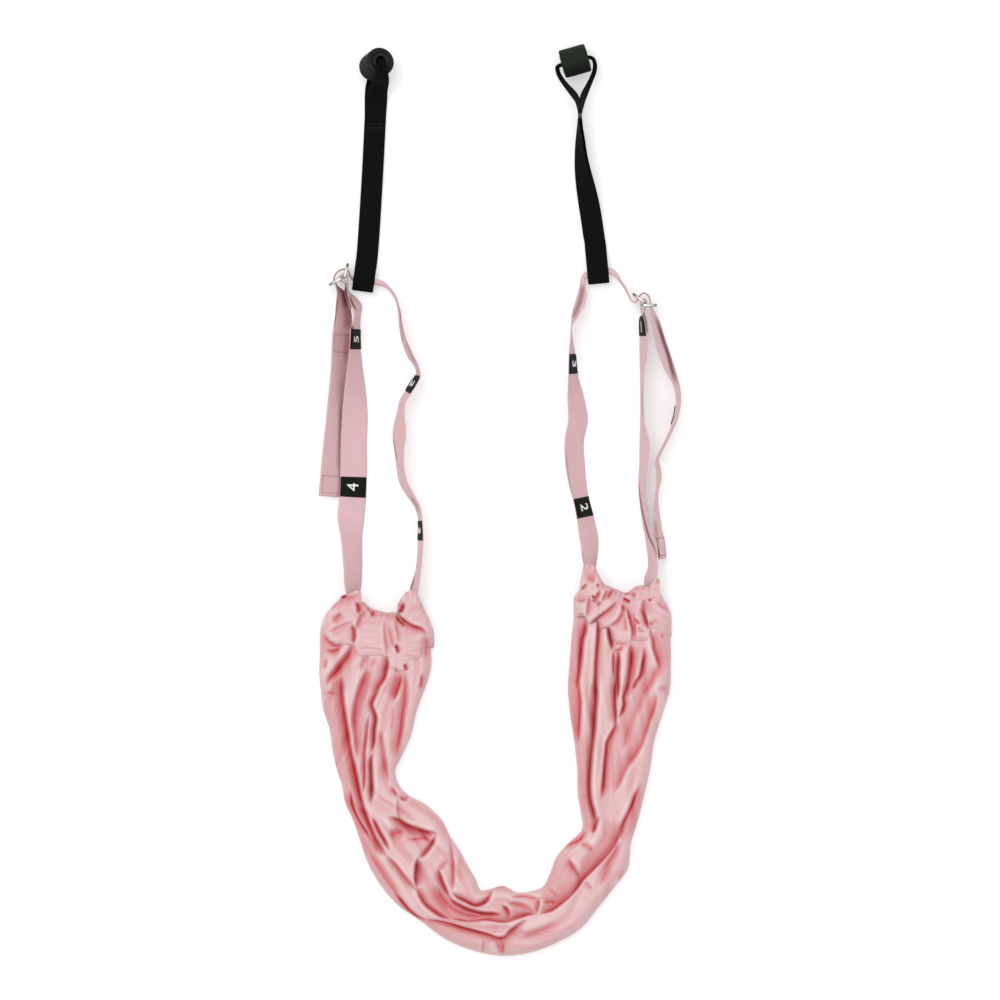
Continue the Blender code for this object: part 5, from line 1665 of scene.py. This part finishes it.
class SLING_OT_anchors(bpy.types.Operator):
    """Adds the doubled black webbing of both door anchors"""

    bl_idname = "sling.anchors"
    bl_label = "Door anchors"

    def execute(self, context):
        webbing = woven_webbing(
            "black polyester webbing", colours().anchor, rib=0.0011, roughness=0.7, sheen=0.0,
            unevenness=0.25, gloss=0.04,
        )
        thread = thread_material("black anchor thread", linear("#0D0F0D"))
        for prefix, side, _, anchor, direction in SIDES:
            found, along = anchor_frames(side, anchor, direction)
            if prefix in LEG_LEANS:
                found = leaned(found, *LEG_LEANS[prefix])
            band = woven_band(
                prefix + "_anchor_webbing", found, ANCHOR_THICKNESS, ANCHOR_WIDTH, True, webbing,
            )
            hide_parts(prefix + "_door_anchor_webbing")
            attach(band, prefix + "_anchor")
            # The upper of the two layers: the plan distance less the height
            lap = Vector(LAP_PLACES[prefix]) * MM
            nearest = min(
                range(len(found)), key=lambda i: (found[i][0].xy - lap).length - found[i][0].z,
            )
            facing = 1 if found[nearest][2].z > 0 else -1
            lift = facing * (ANCHOR_THICKNESS / 2 + STITCH_LIFT)
            paths = [
                tack_path(found, along, along[nearest] + step, lift) for step in (0.0, TACK_SPACING)
            ]
            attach(sew(prefix + "_anchor_tacks", paths, thread), prefix + "_anchor")
        return {"FINISHED"}


def turned_mesh(name, profile, sides, material, waver):
    """A profile of radius and height turned about Z, with a slight unevenness."""
    vertices = []
    for angle in (2 * math.pi * i / sides for i in range(sides)):
        for radius, height in profile:
            uneven = math.sin(3 * angle + 180 * height) + 0.6 * math.sin(7 * angle + 1)
            out = radius * (1 + waver * uneven)
            vertices.append((out * math.cos(angle), out * math.sin(angle), height))
    count = len(profile)
    along = [i / sides for i in range(sides + 1)]
    over = [k / count for k in range(count + 1)]
    return mesh_of(name, vertices, *tube_faces(sides, count, True, along, over), material)


def rounded(corners, radius, steps=5):
    """A closed profile with each corner rounded off."""
    points = []
    count = len(corners)
    for i, corner in enumerate(corners):
        corner = Vector(corner)
        before = (Vector(corners[i - 1]) - corner).normalized() * radius
        after = (Vector(corners[(i + 1) % count]) - corner).normalized() * radius
        for step in range(steps + 1):
            t = step / steps
            start, end = (corner + before) * (1 - t) ** 2, (corner + after) * t ** 2
            points.append(tuple(start + corner * 2 * t * (1 - t) + end))
    return points


class SLING_OT_rolls(bpy.types.Operator):
    """Adds the foam sleeves and the core tubes of both rolls"""

    bl_idname = "sling.rolls"
    bl_label = "Foam rolls"

    def execute(self, context):
        foam = foam_rubber("closed-cell foam rubber", colours().foam)
        plastic = moulded_plastic("extruded polypropylene", linear("#101310"))
        half = ROLL_LENGTH / 2
        outer, inner = ROLL_DIAMETER / 2, CORE_DIAMETER / 2 + SEAT_GAP
        tall = half + CORE_PROUD
        skin = rounded([
            (outer, half), (outer, 0.0), (outer, -half), (inner, -half), (inner, half),
        ], ROLL_ROUNDING)
        wall = rounded([
            (CORE_DIAMETER / 2, tall), (CORE_DIAMETER / 2, -tall),
            (CORE_BORE / 2, -tall), (CORE_BORE / 2, tall),
        ], CORE_ROUNDING)
        for prefix, _, _, anchor, _ in SIDES:
            centre, axis = Vector(anchor["roll"][0]) * MM, Vector(anchor["roll"][1])
            place = Matrix.Translation(centre) @ UP.rotation_difference(axis).to_matrix().to_4x4()
            sleeve = turned_mesh(prefix + "_foam_roll", skin, ROLL_SIDES, foam, ROLL_WAVER)
            tube = turned_mesh(prefix + "_core", wall, CORE_SIDES, plastic, 0.0)
            for thing, node, finish in ((sleeve, "_foam_sleeve", "foam"), (tube, "_core_tube", "core")):
                thing.data.transform(place)
                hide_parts(prefix + node)
                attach(thing, prefix + "_roll")
        return {"FINISHED"}


def lined(table, steps):
    return smooth([[x * MM, y * MM, 0.0] for x, y in table], steps, False)[:, :2]


def crease_profile(points, line, hint, gentle, steep):
    """How deep in a crease each point lies, how far its painted shade reaches, and the lip with a painted
    highlight.
    """
    best = np.full(len(points), np.inf)
    offset = np.zeros((len(points), 2))
    share = np.zeros(len(points))
    lengths = np.linalg.norm(np.diff(line, axis=0), axis=1)
    starts = np.concatenate([[0.0], np.cumsum(lengths)])
    for i in range(len(line) - 1):
        way = line[i + 1] - line[i]
        t = np.clip(((points - line[i]) @ way) / (way @ way), 0, 1)
        away = points - (line[i] + t[:, None] * way)
        distance = np.linalg.norm(away, axis=1)
        closer = distance < best
        best[closer] = distance[closer]
        offset[closer] = away[closer]
        share[closer] = (starts[i] + t[closer] * lengths[i]) / starts[-1]
    length = starts[-1]
    run = min(CREASE_TAPER_SHARE * length, CREASE_TAPER)
    ends = np.clip(np.minimum(share, 1 - share) * length / run, 0, 1)
    taper = ends * (2 - ends)
    gently = offset @ np.array(COMPASS[hint]) > 0
    width = np.where(gently, gentle, steep) * (CREASE_END_WIDTH + (1 - CREASE_END_WIDTH) * taper)
    depth = np.exp(-(best / width) ** np.where(gently, *DEPTH_FALLS))
    # Painted shade of the crease, reaching past its depth, with a narrow stronger core of painted shade
    glow = CREASE_SHADE_STRENGTH * np.exp(-(best / (CREASE_SHADE_REACH * width)) ** np.where(gently, *CREASE_SHADE_FALLS))
    core = SHADE_CORE_STRENGTH * np.exp(-(best / SHADE_CORE_WIDTH) ** 2)
    # The lip beside the steep side, raised and given a painted highlight
    lip = np.exp(-((best - LIP_PLACE * steep) / (LIP_WIDTH * steep)) ** 2) * ~gently
    strength = CREASE_END_STRENGTH + (1 - CREASE_END_STRENGTH) * taper
    return depth * strength, (glow + core) * strength, lip * strength


def creased(places):
    """The creases' summed depth at a grid of places, and their painted shade less their lips' painted
    highlight.
    """
    points = places.reshape(-1, 2)
    depth, red, pale = (np.zeros(len(points)) for _ in range(3))
    for deep, gentle, steep, redness, hint, table in CREASES:
        line = lined(table, CREASE_STEPS)
        reach = CREASE_REACH * max(gentle, steep) * MM
        near = ((points > line.min(axis=0) - reach) & (points < line.max(axis=0) + reach)).all(axis=1)
        if not near.any():
            continue
        found, glow, lip = crease_profile(points[near], line, hint, gentle * MM, steep * MM)
        found = found * deep * CREASE_DEPTH * MM
        depth[near] = np.maximum(depth[near], found) + CREASE_OVERLAP * np.minimum(depth[near], found)
        red[near] = np.maximum(red[near], glow * redness)
        pale[near] = np.maximum(pale[near], lip * redness)
    pale = pale * (1 - np.clip(red * LIP_CLEARANCE, 0, 1))
    shape = places.shape[:2]
    return (depth - LIP_HEIGHT * pale).reshape(shape), (red - LIP_PAINTED_HIGHLIGHT * pale).reshape(shape)


def ripples(along, over):
    """Long soft waves that run with the cloth, from -1 to 1: waves a metre each way, phase, share."""
    waves = [(2.1, 27.0, 0.4, 0.5), (3.7, 46.0, 1.9, 0.3), (5.9, 71.0, 5.1, 0.2)]
    bent = over + 0.006 * np.sin(2 * math.pi * along / 0.31)
    total = np.zeros(along.shape)
    for long_way, wide_way, phase, amount in waves:
        total += amount * np.sin(2 * math.pi * (long_way * along + wide_way * bent) + phase)
    return total


def edge_dome(distance, radius):
    """Height share of a rounded edge: a quarter circle up to the radius."""
    t = np.clip(distance / radius, 0, 1)
    return np.sqrt(np.clip(1 - (1 - t) ** 2, 0, 1))


def run_along(line):
    """How far along a line each of its points is."""
    return np.concatenate([[0.0], np.cumsum(np.linalg.norm(np.diff(line, axis=0), axis=1))])


def evenly(line, count):
    """The line again, as points an even distance apart."""
    steps = run_along(line)
    at = np.linspace(0, steps[-1], count)
    return np.stack([np.interp(at, steps, line[:, 0]), np.interp(at, steps, line[:, 1])], 1)


def near_places(x, table):
    """How near each x is to one of the places, from 0 to 1, by the place's reach."""
    near = np.zeros(x.shape)
    for middle, reach in table:
        near = np.maximum(near, np.exp(-((x - middle * MM) / (reach * MM)) ** 4))
    return near


def satin_shell(name, places, top, back, along, over, red, material, walls, last_rows=None):
    """Doubled cloth: a top sheet over a grid of places, and a flat back sheet joined at its walls.

    Where a column ends before the last row, its further points are all one with its end.
    """
    rows, columns = places.shape[:2]
    count = rows * columns
    stand_in = np.arange(count)
    if last_rows is not None:
        row_of, column = np.divmod(stand_in, columns)
        stand_in = np.minimum(row_of, last_rows[column]) * columns + column
    sheets = [np.dstack([places, height]).reshape(-1, 3) for height in (top, np.full(top.shape, back))]
    drawn = grid_faces(rows, columns)
    drawn += [tuple(c + count for c in quad) for quad in grid_faces(rows, columns, True)]
    for wall in walls:
        line = [i * columns + wall for i in range(rows)]
        drawn += [(a, b, b + count, a + count) for a, b in zip(line, line[1:])]
    stand_in = np.concatenate([stand_in, stand_in + count])
    faces = [tuple(dict.fromkeys(int(stand_in[c]) for c in face)) for face in drawn]
    faces = [face for face in faces if len(face) > 2]
    used = np.unique([c for face in faces for c in face])
    number = {int(c): i for i, c in enumerate(used)}
    flat = np.concatenate([np.stack([along.ravel(), over.ravel()], 1)] * 2)
    uvs = [tuple(flat[c]) for face in faces for c in face]
    faces = [tuple(number[c] for c in face) for face in faces]
    thing = mesh_of(name, np.concatenate(sheets)[used], faces, uvs, material)
    # The fold attribute carries the painted shade and highlight that the satin's colour follows
    fold = thing.data.attributes.new("fold", "FLOAT", "POINT")
    red = np.clip(red.ravel(), *PAINTED_SHADE_RANGE)
    fold.data.foreach_set("value", np.concatenate([red, red])[used].astype(np.float32))
    return thing


class SLING_OT_panel(bpy.types.Operator):
    """Adds the folded satin panel"""

    bl_idname = "sling.panel"
    bl_label = "Satin panel"

    def execute(self, context):
        satin = rose_satin("rose satin")
        pairs = PANEL_UNDER_LEFT + PANEL + PANEL_UNDER_RIGHT
        outer, inner = (lined([pair[edge] for pair in pairs], PATH_STEPS) for edge in (0, 1))
        spread = np.linspace(0, 1, PANEL_COLUMNS)
        places = inner[:, None] * (1 - spread)[None, :, None] + outer[:, None] * spread[None, :, None]
        width = np.linalg.norm(outer - inner, axis=1)
        along = np.repeat(run_along((outer + inner) / 2)[:, None], PANEL_COLUMNS, 1)
        over = spread[None, :] * width[:, None]
        edge = np.minimum(over, width[:, None] - over)
        depth, red = creased(places)
        dome = edge_dome(edge, sizes().satin_edge)
        waves = ripples(along, over)
        tucked = np.minimum(along[:, :1], along[-1, 0] - along[:, :1]) / TUCKED_LENGTH
        under = TUCKED_HEIGHT + (1 - TUCKED_HEIGHT) * np.clip(tucked, 0, 1) ** 0.5
        top = dome * under * (sizes().satin_height - PANEL_SEAM - depth + sizes().ripple * waves)
        top = np.maximum(top, PANEL_LEAST) * np.where(edge > 0, 1, 0.5)
        # Painted highlight on the waves' crests, painted shade in their troughs and where the rounded edges
        # turn down
        red = red - PANEL_WAVE_PAINTED_HIGHLIGHT * waves + EDGE_PAINTED_SHADE * (1 - dome)
        panel = satin_shell(
            "satin_panel", places, top, PANEL_BACK, along, over, red, satin, (PANEL_COLUMNS - 1,),
        )
        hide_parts("sling_panel")
        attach(panel, "sling")
        return {"FINISHED"}


def hem_under(tops, hem):
    """The hem's place under each point of a casing's gathered edge, with its corners softened."""
    across = (tops[:, 0] - tops[0, 0]) / (tops[-1, 0] - tops[0, 0])
    x = hem[0, 0] + across * (hem[-1, 0] - hem[0, 0])
    y = np.interp(x, hem[:, 0], hem[:, 1])
    for _ in range(HEM_SOFTENING):
        y[1:-1] = (y[:-2] + 2 * y[1:-1] + y[2:]) / 4
    return np.stack([x, y], 1)


class SLING_OT_casings(bpy.types.Operator):
    """Adds the gathered casings that the straps run through"""

    bl_idname = "sling.casings"
    bl_label = "Gathered casings"

    def execute(self, context):
        satin = bpy.data.materials["rose satin"]
        for prefix, side, _, _, _ in SIDES:
            shape = CASING_SHAPES[prefix]
            tops = evenly(lined(shape["top"], PATH_STEPS), CASING_COLUMNS)
            hems = hem_under(tops, np.array(shape["hem"], float) * MM)
            length = np.linalg.norm(tops - hems, axis=1)
            down = np.linspace(0, length.max(), CASING_ROWS)
            share = np.minimum(down[:, None] / length[None, :], 1)
            places = tops[None] * (1 - share)[:, :, None] + hems[None] * share[:, :, None]
            last_rows = np.argmax(share >= 1, axis=0)
            up = (1 - share) * length[None, :]
            crown = length[None, :] - up
            sideways = np.repeat((hems[:, 0] - hems[0, 0])[None, :], CASING_ROWS, 0)
            edge = np.minimum(sideways, sideways[:, -1:] - sideways)
            depth, red = creased(places)
            mouth = near_places(places[:, :, 0], shape["mouths"])
            dome = edge_dome(edge, sizes().satin_edge)
            dome = dome * edge_dome(crown + CASING_EDGE * mouth + CASING_CROWN, CASING_EDGE)
            waves = ripples(sideways * 1.4, up * 0.25)
            wander = PLEAT_WANDER * np.sin(sideways / PLEAT_WANDER_WIDTH)
            sway = PLEAT_SWAY * np.sin(up / PLEAT_SWAY_LENGTH)
            turn = 2 * math.pi * sideways / PLEAT_WIDTH + wander + sway
            pleats = np.sin(turn) * np.exp(-crown / PLEAT_RUN)
            height = sizes().satin_height + CASING_OVER_PANEL
            top = dome * (height - depth + WAVE_DEPTH * waves + PLEAT_DEPTH * pleats)
            top = np.maximum(top, MOUTH_HEIGHT * mouth * (crown < MOUTH_DEPTH) * dome)
            soft = near_places(places[:, :, 0], shape["soft_hems"])
            top = top - SOFT_HEM_DROP * soft * np.clip(1 - up / SOFT_HEM_RUN, 0, 1) ** 1.5
            top = np.maximum(top - HEM_DROP * (1 - edge_dome(up, HEM_ROUNDING)), CASING_LEAST)
            # Painted highlight on the pleats' and waves' crests, painted shade where the rounded edges turn
            # down, not at the mouths
            red = red - PLEAT_PAINTED_HIGHLIGHT * pleats - CASING_WAVE_PAINTED_HIGHLIGHT * waves
            red = red + EDGE_PAINTED_SHADE * (1 - dome) * (1 - mouth)
            casing = satin_shell(
                prefix + "_casing", places, top, CASING_BACK, sideways, up, red, satin,
                (0, CASING_COLUMNS - 1), last_rows,
            )
            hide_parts(prefix + "_gathered_casing")
            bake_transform(casing)
        return {"FINISHED"}


class SLING_OT_stage(bpy.types.Operator):
    """Adds the floor, the light and the camera"""

    bl_idname = "sling.stage"
    bl_label = "Stage"

    def execute(self, context):
        # Matt white paper, which the camera sees at full white and the object's shadow darkens
        material, tree = new_material("white paper")
        paper = add_node(tree, "ShaderNodeBsdfDiffuse", {"Color": linear("#F4F4F4")})
        shown = add_node(tree, "ShaderNodeBsdfDiffuse", {"Color": linear("#D9D9D9")})
        glow = add_node(tree, "ShaderNodeEmission", {"Color": linear("#FFFFFF"), "Strength": PAPER_GLOW})
        add_node(tree, "ShaderNodeOutputMaterial", {
            "Surface": add_node(tree, "ShaderNodeMixShader", {
                0: add_node(tree, "ShaderNodeLightPath").outputs["Is Camera Ray"],
                1: paper, 2: add_node(tree, "ShaderNodeAddShader", {0: shown, 1: glow}),
            }),
        })
        half = FLOOR_SIZE / 2
        data = bpy.data.meshes.new("floor")
        corners = [(-half, -half), (half, -half), (half, half), (-half, half)]
        data.from_pydata([(x, y, -FLOOR_DROP) for x, y in corners], [], [(0, 1, 2, 3)])
        data.materials.append(material)
        link(bpy.data.objects.new("floor", data))
        world = bpy.data.worlds.new("studio")
        context.scene.world = world
        world.use_nodes = True
        tree = world.node_tree
        tree.nodes.clear()
        path = add_node(tree, "ShaderNodeLightPath").outputs
        seen = path["Is Camera Ray"]
        for ray in ("Is Glossy Ray", "Is Transmission Ray"):
            seen = add_node(tree, "ShaderNodeMath", {0: seen, 1: path[ray]}, operation="MAXIMUM")
        strength = add_node(tree, "ShaderNodeMath", {
            0: seen, 1: 1.0 - WORLD_LIGHT, 2: WORLD_LIGHT,
        }, operation="MULTIPLY_ADD")
        sky = add_node(tree, "ShaderNodeBackground", {"Color": linear("#FFFFFF"), "Strength": strength})
        add_node(tree, "ShaderNodeOutputWorld", {"Surface": sky})
        lamp = bpy.data.lights.new("overhead", "SUN")
        lamp.energy = LAMP_POWER
        lamp.angle = math.radians(LAMP_SPREAD)
        thing = link(bpy.data.objects.new("overhead", lamp))
        thing.rotation_mode = "QUATERNION"
        thing.rotation_quaternion = Vector(LAMP_WAY).normalized().to_track_quat("Z", "Y")
        camera = bpy.data.cameras.new("camera")
        camera.type = "ORTHO"
        camera.ortho_scale = VIEW_WIDTH
        eye = link(bpy.data.objects.new("camera", camera))
        eye.location = (*VIEW_CENTRE, CAMERA_HEIGHT)
        context.scene.camera = eye
        context.scene.view_settings.view_transform = "Standard"
        return {"FINISHED"}


class SLING_PT_dressing(bpy.types.Panel):
    """Lists the sling's pieces, sizes and colours"""

    bl_label = "Yoga sling"
    bl_space_type = "VIEW_3D"
    bl_region_type = "UI"
    bl_category = "Yoga sling"

    def draw(self, context):
        layout = self.layout
        for settings in (context.scene.sling_sizes, context.scene.sling_colours):
            for name in settings.bl_rna.properties.keys():
                if name not in ("rna_type", "name"):
                    layout.prop(settings, name)
        for operator in OPERATORS:
            layout.operator(operator.bl_idname)


OPERATORS = (
    SLING_OT_panel, SLING_OT_casings, SLING_OT_straps, SLING_OT_tags, SLING_OT_rings,
    SLING_OT_anchors, SLING_OT_rolls, SLING_OT_stage,
)
CLASSES = (SlingSizes, SlingColours, *OPERATORS, SLING_PT_dressing)


def register():
    for kind in CLASSES:
        bpy.utils.register_class(kind)
    bpy.types.Scene.sling_sizes = bpy.props.PointerProperty(type=SlingSizes)
    bpy.types.Scene.sling_colours = bpy.props.PointerProperty(type=SlingColours)


def unregister():
    del bpy.types.Scene.sling_colours
    del bpy.types.Scene.sling_sizes
    for kind in reversed(CLASSES):
        bpy.utils.unregister_class(kind)


def main():
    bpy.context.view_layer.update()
    register()
    bpy.ops.sling.panel()
    bpy.ops.sling.casings()
    bpy.ops.sling.straps()
    bpy.ops.sling.tags()
    bpy.ops.sling.rings()
    bpy.ops.sling.anchors()
    bpy.ops.sling.rolls()
    bpy.ops.sling.stage()
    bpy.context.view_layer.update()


if __name__ == "__main__":
    main()
